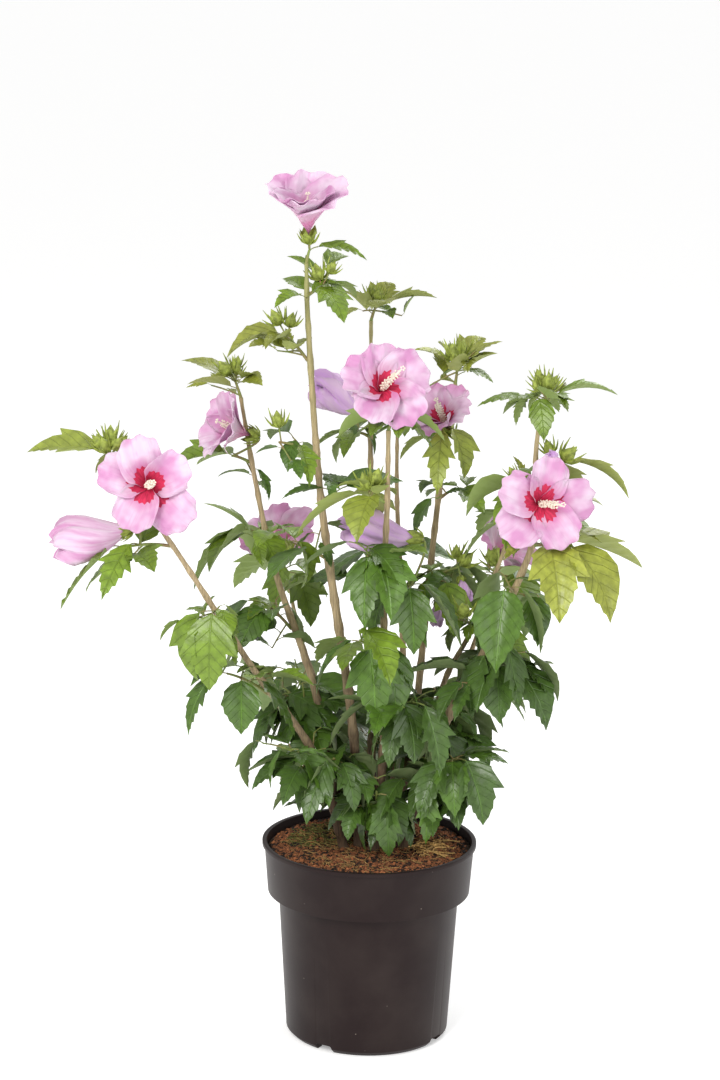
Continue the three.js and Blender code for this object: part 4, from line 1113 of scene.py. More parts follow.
def stud_tree():
    """Things set on points, each along its point's own way and at its own size."""
    tree, given = new_tree("set things", {"Thing": "Object", "Material": "Material"})
    way = add(tree, "GeometryNodeInputNamedAttribute", {"Name": "way"}, data_type="FLOAT_VECTOR")
    size = add(tree, "GeometryNodeInputNamedAttribute", {"Name": "size"}, data_type="FLOAT")
    turn = add(tree, "FunctionNodeAlignRotationToVector", {"Vector": way}, axis="Z")
    thing = add(tree, "GeometryNodeObjectInfo", {"Object": given["Thing"]})
    set_out = add(tree, "GeometryNodeInstanceOnPoints",
                  {"Points": given["Geometry"], "Instance": thing.outputs["Geometry"],
                   "Rotation": turn, "Scale": size})
    finish_tree(tree, set_out, given["Material"])
    return tree


def points_object(name, points, floats=None, vectors=None, edges=()):
    """A mesh of bare points with named attributes, for a tree to build on."""
    mesh = bpy.data.meshes.new(name)
    mesh.from_pydata([tuple(float(part) * MM for part in point) for point in points], edges, [])
    for label, values in (floats or {}).items():
        mesh.attributes.new(label, "FLOAT", "POINT").data.foreach_set("value", values)
    for label, values in (vectors or {}).items():
        layer = mesh.attributes.new(label, "FLOAT_VECTOR", "POINT")
        layer.data.foreach_set("vector", np.array(values, float).ravel())
    return linked(name, mesh)


# --- Pot and soil ---

RIM_INSIDE = RIM_R - RIM_LIP - WALL
POT_SIDES_FINE = 128
POT_BEVEL_ANGLE = 38  # from which the pot's edges are rounded
POT_SHARP_ANGLE = 50
NOTCH_STEPS = 4
MIX_RINGS = 26
MIX_SIDES = 96
MIX_DEPTH = 14
MIX_RISE = 3  # over the solid, for the loose top
MIX_FOOT_IN = 4  # how much narrower the mix is below
MIX_FLARE = 0.8  # how far it follows the collar's slope
MIX_FALL = 0.5  # of its top toward the wall, over the solid's
MIX_LUMPS = ((17, 2.2), (5, 1.1))  # how wide and how high
CRUMBS_R = 105.5  # crumbs keep clear of the wall, flakes more so, and fibres most
FLAKES_R = 101
FIBRES_R = 90
FIBRE_LIFT = 3.5  # so that fibres lie on the crumbs
FIBRE_STEPS = 6
COIR_R = 0.45
STRAW_R = 0.75
FLAKE_SHAPE = (1, 0.5, 0.24)  # over the chip length, as are crumbs and straw
CRUMB_SHAPE = (0.38, 0.28, 0.22)
STRAW_LENGTH = 1.3  # over a coir fibre's
CHIP_KNOTS = 3.1  # how close together the breaks of a chip's corners are, and how deep
CHIP_BREAK = 0.22
# Where things lie: the middle of a patch, and its radius.
EVERYWHERE = ((0, 0), 400)
STRAW_PATCH = ((74, -10), 36)
MOSS_PATCH = ((-62, 38), 56)


def pot_profile():
    """The pot's section, from the middle of its underside round to the middle of its floor."""
    foot_r = BODY_BOTTOM_R - FOOT_BEVEL
    outside = [
        (0, 0), (PAD_R, 0), (PAD_R + CHANNEL_SLOPE, CHANNEL_HEIGHT), (foot_r - FOOT_WIDTH, CHANNEL_HEIGHT),
        (foot_r - FOOT_WIDTH, 0), (foot_r, 0), (BODY_BOTTOM_R, FOOT_BEVEL), (BODY_TOP_R, LEDGE_Z),
        (COLLAR_R, LEDGE_Z), (RIM_R - RIM_LIP, POT_HEIGHT - RIM_DEPTH), (RIM_R, POT_HEIGHT - RIM_DEPTH),
        (RIM_R, POT_HEIGHT),
    ]
    inside = [
        (RIM_INSIDE, POT_HEIGHT), (COLLAR_R - WALL, LEDGE_Z + WALL), (BODY_TOP_R - WALL, LEDGE_Z + WALL),
        (BODY_BOTTOM_R + 0.5 - WALL, CHANNEL_HEIGHT + WALL),
        (PAD_R + CHANNEL_SLOPE - WALL, CHANNEL_HEIGHT + WALL), (PAD_R - WALL, WALL), (0, WALL),
    ]
    return outside + inside


def prism(outline, low, high):
    """A closed prism along X over an outline of (y, z) points."""
    count = len(outline)
    points = [(low, y, z) for y, z in outline] + [(high, y, z) for y, z in outline]
    faces = [(at, (at + 1) % count, count + (at + 1) % count, count + at) for at in range(count)]
    faces.append(tuple(range(count))[::-1])
    faces.append(tuple(range(count, 2 * count)))
    return points, faces


def notch_outline(corner):
    """An opening with round upper corners, from below the ground to the notch's top."""
    half = NOTCH_WIDTH / 2
    outline = [(half, -NOTCH_HEIGHT)]
    for step in range(NOTCH_STEPS + 1):
        angle = math.radians(90 * step / NOTCH_STEPS)
        outline.append((half - corner * (1 - math.cos(angle)), NOTCH_HEIGHT - corner * (1 - math.sin(angle))))
    return outline + [(-y, z) for y, z in reversed(outline)]


def make_cutter(corner):
    """Notches through the foot ring and drain slots through the channel, all in one."""
    heap = Heap()
    drain_r = (PAD_R + CHANNEL_SLOPE + BODY_BOTTOM_R - FOOT_BEVEL - FOOT_WIDTH) / 2
    low, high, half = CHANNEL_HEIGHT - WALL, CHANNEL_HEIGHT + 3 * WALL, DRAIN_LENGTH / 2
    drain = [(half, low), (half, high), (-half, high), (-half, low)]
    gate = prism(notch_outline(corner), BODY_BOTTOM_R - 2.5 * FOOT_WIDTH, BODY_BOTTOM_R + FOOT_WIDTH)
    slot = prism(drain, drain_r - DRAIN_WIDTH / 2, drain_r + DRAIN_WIDTH / 2)
    for notch in range(NOTCHES):
        angle = FIRST_NOTCH + notch * 360 / NOTCHES
        for (points, faces), toward in ((gate, angle), (slot, angle + 180 / NOTCHES)):
            turn = Matrix.Rotation(math.radians(toward), 3, "Z")
            turned = [tuple(turn @ Vector(point)) for point in points]
            heap.add(turned, faces)
    return heap.piece("notch_cutter", [])


def make_pot():
    settings = bpy.context.scene.hibiscus_pot
    heap = Heap()
    points, faces = lathe_shape(pot_profile(), POT_SIDES_FINE)
    heap.add(points, faces)
    pot = heap.piece("pot_body", [pot_plastic()])
    cutter = make_cutter(settings.notch_round / MM)
    cut = pot.modifiers.new("notches", "BOOLEAN")
    cut.object, cut.operation, cut.solver = cutter, "DIFFERENCE", "EXACT"
    edges = pot.modifiers.new("moulded edges", "BEVEL")
    edges.width, edges.segments = settings.edge_round, 2
    edges.limit_method, edges.angle_limit = "ANGLE", math.radians(POT_BEVEL_ANGLE)
    pot = as_mesh(pot, "nursery_pot")
    bpy.data.objects.remove(cutter)
    pot.data.shade_smooth()
    pot.data.set_sharp_from_angle(angle=math.radians(POT_SHARP_ANGLE))
    dress(pot, "pot", "pot")


def mix_body():
    """The lumpy potting mix, closed below."""
    edge = SOIL_Z - SOIL_EDGE_DROP
    slope = (RIM_R - RIM_LIP - COLLAR_R) / (POT_HEIGHT - RIM_DEPTH - LEDGE_Z)
    edge_r = COLLAR_R - WALL - CLEAR + slope * (edge - LEDGE_Z) * MIX_FLARE
    profile = [(0, edge - MIX_DEPTH), (edge_r - MIX_FOOT_IN, edge - MIX_DEPTH)]
    for ring in range(MIX_RINGS, 0, -1):
        radius = edge_r * ring / MIX_RINGS
        fall = SOIL_EDGE_DROP * max(0, (radius - SOIL_FLAT_R) / (edge_r - SOIL_FLAT_R))
        profile.append((radius, SOIL_Z - MIX_FALL * fall + MIX_RISE))
    profile.append((0, SOIL_Z + MIX_RISE))
    points, faces = lathe_shape(profile, MIX_SIDES)
    lumpy = []
    for x, y, z in points:
        lump = sum(noise.noise(Vector((x / wide, y / wide, wide))) * high for wide, high in MIX_LUMPS)
        lumpy.append((x, y, z + (lump if z > edge - MIX_DEPTH / 2 else 0)))
    heap = Heap()
    heap.add(lumpy, faces)
    colour = bpy.context.scene.hibiscus_soil.mix
    return heap.piece("potting_mix", [loose_stuff("bark and coir mix", colour)])


def top_within(mix, radius):
    """A bare copy of the mix's top, out to a radius, for things to be strewn on."""
    top = bmesh.new()
    top.from_mesh(mix.data)
    low = (SOIL_Z - SOIL_EDGE_DROP - MIX_DEPTH / 2) * MM
    outside = [corner for corner in top.verts
               if corner.co.z < low or math.hypot(corner.co.x, corner.co.y) > radius * MM]
    bmesh.ops.delete(top, geom=outside, context="VERTS")
    return mesh_of(top, "mix_top")


def chip_object(name, size):
    """A flake of bark with broken corners, its size in metres."""
    chip = bmesh.new()
    bmesh.ops.create_cube(chip, size=1)
    along = [edge for edge in chip.edges if abs(edge.verts[0].co.x - edge.verts[1].co.x) > 0.5]
    bmesh.ops.subdivide_edges(chip, edges=along, cuts=1)
    for corner in chip.verts:
        broken = corner.co + noise.noise_vector(corner.co * CHIP_KNOTS) * CHIP_BREAK
        corner.co = [part * width for part, width in zip(broken, size)]
    return linked(name, mesh_of(chip, name))


def fibre_object(name, length, radius):
    """A bent coir or straw fibre."""
    path = [(length * (step / FIBRE_STEPS - 0.5), 3 * math.sin(step * 1.1),
             FIBRE_LIFT + 1.5 * math.sin(step * 0.8)) for step in range(FIBRE_STEPS + 1)]
    heap = Heap()
    add_tube(heap, path, [radius] * len(path), 3)
    return heap.piece(name, [])


def make_soil():
    settings = bpy.context.scene.hibiscus_soil
    mix = mix_body()
    tree = scatter_tree()
    noise.seed_set(settings.seed)  # noise vectors differ from run to run without it
    long, fibre = settings.chip_length, settings.fibre_length / MM
    flake = chip_object("flake", [share * long for share in FLAKE_SHAPE])
    crumb = chip_object("crumb", [share * long for share in CRUMB_SHAPE])
    coir = fibre_object("fibre", fibre, COIR_R)
    stalk = fibre_object("stalk", STRAW_LENGTH * fibre, STRAW_R)
    # Name, thing, colour, share of the density, least and greatest size, tilt, patch and reach.
    rows = (
        ("bark_crumbs", crumb, settings.bark, 2.4, 0.5, 1.6, 0.9, EVERYWHERE, CRUMBS_R),
        ("bark_flakes", flake, shaded(settings.bark, 1.3), 0.9, 0.35, 1.0, 0.6, EVERYWHERE, FLAKES_R),
        ("pale_flakes", flake, shaded(settings.straw, 0.8), 0.5, 0.25, 0.7, 0.5, EVERYWHERE, FLAKES_R),
        ("peat_crumbs", crumb, settings.peat, 1.8, 0.5, 1.6, 0.9, EVERYWHERE, CRUMBS_R),
        ("coir_fibres", coir, shaded(settings.straw, 0.6), 0.45, 0.3, 0.9, 0.2, EVERYWHERE, FIBRES_R),
        ("straw", stalk, settings.straw, 0.9, 0.3, 1.0, 0.16, STRAW_PATCH, FIBRES_R),
        ("moss", coir, shaded(settings.moss, 0.8), 2.2, 0.3, 0.9, 0.35, MOSS_PATCH, FIBRES_R),
    )
    for number, (name, thing, colour, share, least, greatest, tilt, patch, reach) in enumerate(rows):
        (x, y), patch_r = patch
        values = {"Thing": thing, "Density": settings.chips_per_m2 * share, "Seed": settings.seed + number,
                  "Least": least, "Greatest": greatest, "Tilt": tilt, "Patch Radius": patch_r * MM,
                  "Patch": (x * MM, y * MM, SOIL_Z * MM), "Material": loose_stuff(name, colour)}
        ground = linked(f"{name}_ground", top_within(mix, reach))
        dress(run_tree(ground, tree, values, name), "soil", "soil")
    for helper in (flake, crumb, coir, stalk):
        bpy.data.objects.remove(helper)
    dress(mix, "soil", "soil")


# --- Limbs, twigs and leaves ---

KNOT_SWELL = 0.24
KNOT_LENGTH = 4.5
KNOT_STEP = (26, 52)
LIMB_STEP = 3
LIMB_SIDES = 16
RIDGE_WIDTH = 3.5
TWIG_STEPS = 8
TWIG_SIDES = 8
TWIG_SWELL = (1.25, 1.15)  # of a twig inside its limb and at the bark, over TWIG_R
SHOOT_ARCH = 1.5
SHOOT_TAPER = (1, 0.95, 0.9, 0.8)
PETIOLE_TAPER = (1.2, 0.75, 0.75, 0.75, 0.9)
FULL_PETIOLE_LEAF = 60  # the shortest leaf with a petiole of full thickness
BUD_STALK_RADII = (1.0, 0.85, 1.0)
BLOOM_STALK_TAPER = (1, 1, 1, 1, 1, 1, 1, 1.3, 1.6)
BLOOM_STALK_SIDES = 7
STALK_SIDES = 5
WITHERED_ARCH = 3


def limb_thickness(limb, share, knots):
    """A limb's radius, with its flare at the soil and a swelling at each knot."""
    place = limb.smooth(share)
    radius = limb.radius(share)
    if limb.rooted:
        radius *= 1 + ROOT_FLARE * max(0, 1 - (place[2] - SOIL_Z) / FLARE_HEIGHT)
    swell = sum(math.exp(-(((place[2] - knot) / KNOT_LENGTH) ** 2)) for knot in knots)
    return radius * (1 + KNOT_SWELL * min(1, swell))


def make_limbs(limbs, sprays):
    tree, bark = bark_tree(), stem_bark()
    relief = bpy.context.scene.hibiscus_limbs.relief
    dice = Dice(SHOOT_SEED - 1)
    for limb in limbs.values():
        lowest, highest = limb.points[0][2], limb.points[-1][2]
        knots = [spray["twig"].heart[2] for spray in sprays if spray["row"].limb == limb.name]
        height = lowest + KNOT_STEP[0]
        while height < highest:
            knots.append(height)
            height += dice.pick(KNOT_STEP)
        count = int((highest - lowest) / LIMB_STEP)
        shares = [step / count for step in range(count + 1)]
        points = [limb.smooth(share) for share in shares]
        points[0] = points[0] - UP * (LIMB_STEP if limb.rooted else 0)
        thickness = [limb_thickness(limb, share, knots) * MM for share in shares]
        edges = [(step, step + 1) for step in range(count)]
        line = points_object(f"{limb.name}_line", points, {"thickness": thickness}, edges=edges)
        values = {"Sides": LIMB_SIDES, "Ring Spacing": LIMB_STEP * MM, "Relief": relief,
                  "Ridge Width": RIDGE_WIDTH * MM, "Material": bark}
        piece = run_tree(line, tree, values, f"{limb.name}_bark")
        piece.data.shade_smooth()
        dress(piece, "bark", limb.name)


def curve_through(start, bend, end, steps):
    """Evenly spread points of a quadratic curve."""
    return [bent(start, bend, end, step / steps) for step in range(steps + 1)]


def add_tube(heap, path, radii, sides):
    heap.add(*tube_shape(path, radii, sides))


def drawn_leaves(spray):
    """Each leaf of a spray and of its shoots, with its tone."""
    own = [(leaf, spray["tone"]) for leaf in spray["shown"]]
    return own + [(leaf, shoot["tone"]) for shoot in spray["shoots"] for leaf in shoot["leaves"]]


def add_stalk(heap, start, end, arch, radii):
    """A thin stalk that arches upward between two points, with a ring for each radius."""
    bend = between((start, end), 0.5) + UP * arch
    add_tube(heap, curve_through(start, bend, end, len(radii) - 1), radii, STALK_SIDES)


def make_twigs(sprays):
    wood, green = Heap(), Heap()
    for spray in sprays:
        twig = spray["twig"]
        shares = [step / TWIG_STEPS for step in range(TWIG_STEPS + 1)]
        path = [twig.heart] + [twig.point(share) for share in shares]
        inside, outside = [TWIG_R * swell for swell in TWIG_SWELL]
        radii = [inside] + [between((outside, TWIG_TIP_R), share) for share in shares]
        add_tube(wood, path, radii, TWIG_SIDES)
        for shoot in spray["shoots"]:
            taper = [SHOOT_TWIG_R * share for share in SHOOT_TAPER]
            add_stalk(green, shoot["root"], shoot["tip"], SHOOT_ARCH, taper)
        for leaf, _ in drawn_leaves(spray):
            thick = PETIOLE_R * min(1, leaf["length"] / FULL_PETIOLE_LEAF)
            taper = [thick * share for share in PETIOLE_TAPER]
            add_stalk(green, leaf["stem"], leaf["foot"], leaf["petiole"] * PETIOLE_ARCH, taper)
        for bud in spray["buds"]:
            add_stalk(green, bud["stem"], bud["foot"], 0, BUD_STALK_RADII)
        bloom = BLOOMS.get(spray["name"])
        if bloom:
            axis = pointing(*bloom["faces"])
            seat = np.array(bloom["seat"], float)
            path = curve_through(twig.point(bloom["from"]), seat - axis * 2 * CALYX_LENGTH,
                                 seat - axis * 0.8 * CALYX_LENGTH, len(BLOOM_STALK_TAPER) - 1)
            add_tube(green, path, [STALK_R * share for share in BLOOM_STALK_TAPER], BLOOM_STALK_SIDES)
    for withered in WITHERED:
        stem, foot, _ = withered_line(withered, sprays)
        add_stalk(green, stem, foot, WITHERED_ARCH, [SHOOT_TWIG_R] * 5)
    nodes = spray_nodes(spray["name"] for spray in sprays)
    dress(wood.piece("twigs", [green_wood()]), "foliage", *nodes)
    dress(green.piece("petioles", [green_wood()]), "foliage", *nodes)


def leaf_pattern(outline):
    """A blade's spots, faces, material slots and places, from half of its outline."""
    spots = [(0, 0, 0), (1, 0, 0)]
    first, tip, below = len(spots), 1, ROW_SPOTS - 1
    for row, (along, aside) in enumerate(outline):
        root = max(LEAF_FIRST_VEIN * (row + 1), along - aside * VEIN_SWEEP)
        tooth = row % 2 == 1
        swell = LEAF_VEIN_SINK * LEAF_PUFF if tooth else LEAF_PUFF
        wave = -LEAF_WAVE if tooth else LEAF_WAVE
        halfway = (root + along) / 2
        spots.append((root, 0, LEAF_SKIN / 2))
        for side in (1, -1):
            spots.append((halfway, side * aside * LEAF_PUFF_PLACE, swell))
            spots.append((along, side * aside, wave * aside * LEAF_WAVE_SPREAD))
        spots.append((root, 0, -LEAF_SKIN / 2))
    faces, slots = [], []
    last = first + (len(outline) - 1) * ROW_SPOTS
    for left in (True, False):
        middle, rim = (1, 2) if left else (3, 4)
        top = [(0, first, first + middle), (0, first + middle, first + rim)]
        under = [(0, first + rim, first + below)]
        for here in range(first, last, ROW_SPOTS):
            after = here + ROW_SPOTS
            top.append((here, after, after + middle, here + middle))
            top.append((here + middle, after + middle, after + rim, here + rim))
            under.append((here + below, here + rim, after + rim, after + below))
        top += [(last, tip, last + middle), (last + middle, tip, last + rim)]
        under.append((last + below, last + rim, tip))
        for sheet, slot in ((top, 0), (under, 1)):
            faces += [face if left else face[::-1] for face in sheet]
            slots += [slot] * len(sheet)
    spots = np.array(spots, float)
    places = [(along, 0.5 + aside) for along, aside, _ in spots]
    return spots, faces, slots, places


def shaped_spots(spots, dice):
    """A blade's spots folded along the midrib, skewed and curled at the tip, each leaf its own way."""
    along, aside = spots[:, 0], spots[:, 1]
    lift = spots[:, 2] * dice.pick(LEAF_VARIETY)
    lift = lift + np.abs(aside) * dice.pick(LEAF_VEE) + aside * dice.pick(LEAF_SKEW)
    return np.column_stack([along, aside, lift + dice.pick(LEAF_TIP_LIFT) * along**2])


def make_leaves(sprays):
    crown = bpy.context.scene.hibiscus_crown
    patterns = [leaf_pattern(outline) for outline in OUTLINES]
    dice = Dice(SHOOT_SEED - 2)
    heaps = {tone: Heap() for tone in TONES}
    names = {tone: set() for tone in TONES}
    for spray in sprays:
        for leaf, tone in drawn_leaves(spray):
            spots, faces, slots, places = patterns[int(dice.roll() * len(patterns))]
            heaps[tone].add(leaf_points(leaf, shaped_spots(spots, dice)), faces, slots, places)
            names[tone].add(spray["name"])
    for tone, heap in heaps.items():
        colour = getattr(crown, tone)
        blades = [leaf_upper(tone, colour, crown.gloss), leaf_under(tone, colour)]
        dress(heap.piece(f"leaves_{tone}", blades), "foliage", *sorted(spray_nodes(names[tone])))


# --- Blooms and buds ---

# Rows of a petal from its foot to its rim, as shares of its length. The eye ends at one of them.
PETAL_ROWS = (0.0, 0.12, 0.24, 0.36, 0.47, 0.52, 0.58, 0.64, 0.7, 0.76, 0.82, 0.88, 0.93, 0.97, 1.0)
EYE_ROW = 4
PETAL_COLUMNS = 18
EYE_STREAK = 0.08
EYE_BOW = 0.3
PETAL_SKIN = 0.5  # how thick a petal is
RIM_RIPPLE = 0.018
RIPPLE_STEP = 11  # how close together ripples stand, as the radians from the middle to an edge
SIDES_SHORTER = 0.17  # how much shorter a petal is at its sides
STREAK_LENGTH = (0.3, 1)
PETAL_OVERLAP = 3.2  # how far one edge stands over the neighbour's
RIM_ROLL = 5  # how far the rim rolls outward
ROLL_START = 0.62
ROLL_SPREAD = 0.14
RUFFLES = (2.6, 8)  # how deep the broad ruffles are, and how close together
FINE_RUFFLES = (1.5, 14)
PETAL_HOLLOW = (1.5, 3)
EDGE_CURL = 7  # how far one edge curls
CURL_START = 0.5
# A petal's own phase, depth of ruffles, curl and roll, each between two values.
PETAL_WHIMS = ((0, 6.28), (0.6, 1.2), (-1, 1), (0.2, 1.0))
PETAL_CLAW = 0.16
PETAL_BROADEST = 0.74
PETAL_VARIETY = (0.93, 1.05)
PETAL_TILT = (-9, 9)
PETAL_SHIFT = (-7, 7)
NARROWEST_CUP = 6

# How each bloom differs from the rest: how wide its petals are over their length, how loosely
# they stand, how deep their ruffles are, how far they are turned round the axis, how long and how
# open they are over their solid's, and the way and how far its column leans.
USUAL_LOOK = {"wide": 0.53, "loose": 0.7, "ruffle": 1.3, "spin": 0, "long": 1.04, "open": 1,
              "leans": (0, 60), "by": 3}
LOOKS = {
    "front_tip": {"wide": 0.62, "ruffle": 1.9, "spin": 18, "long": 1.07, "leans": (0, 40), "by": 16},
    "outer_left_tip": {"wide": 0.47, "loose": 1.5, "spin": 24, "long": 1.12, "leans": (20, 20), "by": 7},
    "outer_right_under": {"wide": 0.5, "loose": 1.3, "spin": 6, "long": 1.08, "leans": (5, 5), "by": 13},
    "tall_tip": {"wide": 0.62, "ruffle": 1.5, "spin": 12, "long": 1.17, "open": 0.68},
}

# Blooms long withered, small and hanging: the spray, where on its twig, the way, stalk and length.
WITHERED = (
    {"spray": "right_low", "from": 0.95, "faces": (290, -50), "stalk": 12, "length": 26},
    {"spray": "right_low", "from": 0.2, "faces": (265, -78), "stalk": 26, "length": 25},
    {"spray": "outer_right_upper", "from": 0.9, "faces": (250, 40), "stalk": 8, "length": 20},
)

# The outline of a furled bloom from its foot to its mouth and a little way into it.
FURLED_PROFILE = ((0, 0.05), (0.08, 0.08), (0.18, 0.12), (0.3, 0.19), (0.43, 0.26), (0.56, 0.31),
                  (0.68, 0.34), (0.79, 0.345), (0.88, 0.32), (0.95, 0.27), (1, 0.2), (0.97, 0.12),
                  (0.9, 0.03))
FURLED_GIRTH = {"outer_left_under": 0.86, "back_upper": 0.74, "front_middle_right": 0.68}
FURLED_SIDES = 36
FURLED_TWIST = 1.4  # how far its petals wind round, in radians
FURLED_CREASE = 0.9  # how deep its creases are toward the mouth
WITHERED_GIRTH = 0.8
FADED_CRUMPLE = 2.0  # how deep the creases of spent petals are, over a furled bloom's
COLUMN_STRETCH = 1.2  # over the solid's, for the stigmas
# Rings of a column: where on it each is, and its radius over the column's.
COLUMN_RINGS = ((0.08, 0.3), (0.22, 0.78), (0.4, 0.75), (0.6, 0.7), (0.8, 0.6), (0.97, 0.35))
COLUMN_SIDES = 10
ANTHER_R = 1.15
ANTHERS_FROM = 0.26  # of the column, and the share of it that they cover
ANTHERS_COVER = 0.62
ANTHER_OUT = (2.2, 4.0)
ANTHER_SIZE = (0.6, 1.05)
STIGMA_PLACE = 1.03
STIGMA_OUT = 1.9
STIGMA_SIZE = 0.95


def petal_lift(across, share, look, phase, ruffle, curl, roll):
    """How far a row of a petal stands inward of the cup it lies on."""
    deep, close = RUFFLES
    fine_deep, fine_close = FINE_RUFFLES
    hollow, width = PETAL_HOLLOW
    far = share**2 * look["ruffle"]
    lift = PETAL_OVERLAP * across * share - RIM_ROLL * roll * max(0, share - ROLL_START) ** 2 / ROLL_SPREAD
    lift = lift + ruffle * far * deep * np.abs(across) ** 1.2 * np.sin(across * close + phase)
    lift = lift + far * share * fine_deep * np.sin(across * fine_close + 2 * phase)
    lift = lift - hollow * share * np.cos(across * width)
    turned = np.maximum(0, across * np.sign(curl) - CURL_START) ** 2 / CURL_START**2
    return lift + curl * look["loose"] * EDGE_CURL * share * turned


def petal_shape(bloom, look, number, dice):
    """A petal's grid: a narrow claw, a broad ruffled rim, and one edge over its neighbour's."""
    own = {**bloom, "petal": bloom["petal"] * look["long"] * dice.pick(PETAL_VARIETY),
           "open": bloom["open"] * look["open"] + dice.pick(PETAL_TILT) * look["loose"]}
    middle = number * 360 / PETALS + look["spin"] + dice.pick(PETAL_SHIFT) * look["loose"]
    wide = look["wide"] * dice.pick(PETAL_VARIETY) * own["petal"]
    phase, *whims = [dice.pick(ends) for ends in PETAL_WHIMS]
    across = np.linspace(-1, 1, PETAL_COLUMNS + 1)
    streaks = [dice.pick(STREAK_LENGTH) * (1 if column % 2 else -1) for column in range(len(across))]
    inner, outer, places = [], [], []
    for row, share in enumerate(PETAL_ROWS):
        along = share * (1 - SIDES_SHORTER * share * np.abs(across) ** 2.6)
        if row == EYE_ROW:
            along = along * (1 + EYE_STREAK * np.array(streaks)) * (1 - EYE_BOW * across**2)
        elif row < EYE_ROW:
            along = along * (1 - EYE_BOW * across**2)
        else:
            ripples = np.sin(across * RIPPLE_STEP + phase)
            along = along * (1 + RIM_RIPPLE * look["ruffle"] * share**6 * ripples)
        broad = PETAL_CLAW + (1 - PETAL_CLAW) * math.sin(min(1, share / PETAL_BROADEST) * math.pi / 2) ** 1.3
        turn = -own["open"] * PETAL_CURL * max(share, 1e-6)
        out, _ = arc_end(90 - own["open"] * PETAL_FOOT, turn, own["petal"] * max(share, 1e-6))
        angle = np.degrees(across * wide * broad / max(out, NARROWEST_CUP))
        lift = petal_lift(across, share, look, phase, *whims)
        inner.extend(cup_points(own, middle + angle, along, lift + PETAL_SKIN / 2))
        outer.extend(cup_points(own, middle + angle, along, lift - PETAL_SKIN / 2))
        places.extend([(share, 0.5 + part / 2 + number) for part in across])
    return inner + outer, places + places


def petal_faces():
    """Faces of a petal's two sheets and its rim, and a slot for each. The eye is inside alone."""
    wide, rows = PETAL_COLUMNS + 1, len(PETAL_ROWS)
    back = wide * rows
    faces, slots = [], []
    for row in range(rows - 1):
        for column in range(PETAL_COLUMNS):
            near, far = row * wide + column, (row + 1) * wide + column
            faces.append((near, near + 1, far + 1, far))
            faces.append((back + far, back + far + 1, back + near + 1, back + near))
            slots += [int(row < EYE_ROW), 0]
    edge = list(range(PETAL_COLUMNS))
    edge += [row * wide + PETAL_COLUMNS for row in range(rows - 1)]
    edge += [(rows - 1) * wide + column for column in range(PETAL_COLUMNS, 0, -1)]
    edge += [row * wide for row in range(rows - 1, 0, -1)]
    for here, after in zip(edge, edge[1:] + edge[:1]):
        faces.append((after, here, back + here, back + after))
        slots.append(0)
    return faces, slots


def furled_shape(foot, axis, length, girth, crumple=1):
    """A closed bloom: petals wound round each other, creased toward a ruffled mouth."""
    right = square_to(axis, level(17))
    top = np.cross(axis, right)
    turns = np.arange(FURLED_SIDES) / FURLED_SIDES
    whole = 2 * math.pi
    points, places = [], []
    for share, radius in FURLED_PROFILE:
        angle = turns * whole + share * FURLED_TWIST
        deep = share**1.5
        folds = 0.2 * np.sin(turns * 5 * whole) + 0.1 * np.sin(turns * 12 * whole + 1 + 5 * share * crumple)
        crease = 1 + FURLED_CREASE * crumple * deep * folds
        ruffle = 0.05 * np.sin(turns * 5 * whole + 2) + 0.03 * np.sin(turns * 9 * whole)
        along = length * (share + crumple * deep * ruffle)
        out = radius * length * girth * crease
        ring = foot + np.outer(along, axis) + np.outer(np.cos(angle) * out, right)
        points.extend(ring + np.outer(np.sin(angle) * out, top))
        places.extend([(share, turn) for turn in turns])
    return points, ring_faces(len(FURLED_PROFILE), FURLED_SIDES), places


def withered_line(withered, sprays):
    """Where a withered bloom's stalk starts and ends, and the way it points."""
    twig = next(spray["twig"] for spray in sprays if spray["name"] == withered["spray"])
    stem = twig.point(withered["from"])
    way = pointing(*withered["faces"])
    return stem, stem + way * withered["stalk"], way


def look_of(name):
    return {**USUAL_LOOK, **LOOKS.get(name, {})}


def column_place(bloom, look, share):
    """A point of a bloom's column, which leans more and more toward its tip."""
    along = pointing(*bloom["faces"]) * bloom["petal"] * COLUMN_SHARE * COLUMN_STRETCH * share
    return np.array(bloom["seat"], float) + along + pointing(*look["leans"]) * look["by"] * share**2


def anther_spots(bloom, look, dice):
    """Places for anthers round the outer part of a column, and its five stigmas."""
    _, right, top = bloom_frame(bloom)
    count = bpy.context.scene.hibiscus_flowers.anthers
    spots = []
    for number in range(count):
        place = column_place(bloom, look, ANTHERS_FROM + ANTHERS_COVER * number / count)
        angle = math.radians(number * GOLDEN_TURN)
        out = (right * math.cos(angle) + top * math.sin(angle)) * dice.pick(ANTHER_OUT)
        spots.append((place + out, dice.pick(ANTHER_SIZE)))
    for number in range(PETALS):
        angle = math.radians(number * 360 / PETALS)
        out = (right * math.cos(angle) + top * math.sin(angle)) * STIGMA_OUT
        spots.append((column_place(bloom, look, STIGMA_PLACE) + out, STIGMA_SIZE))
    return spots


def anther_object():
    """One anther, a small grain."""
    grain = bmesh.new()
    bmesh.ops.create_icosphere(grain, subdivisions=1, radius=ANTHER_R * MM)
    return linked("anther", mesh_of(grain, "anther"))


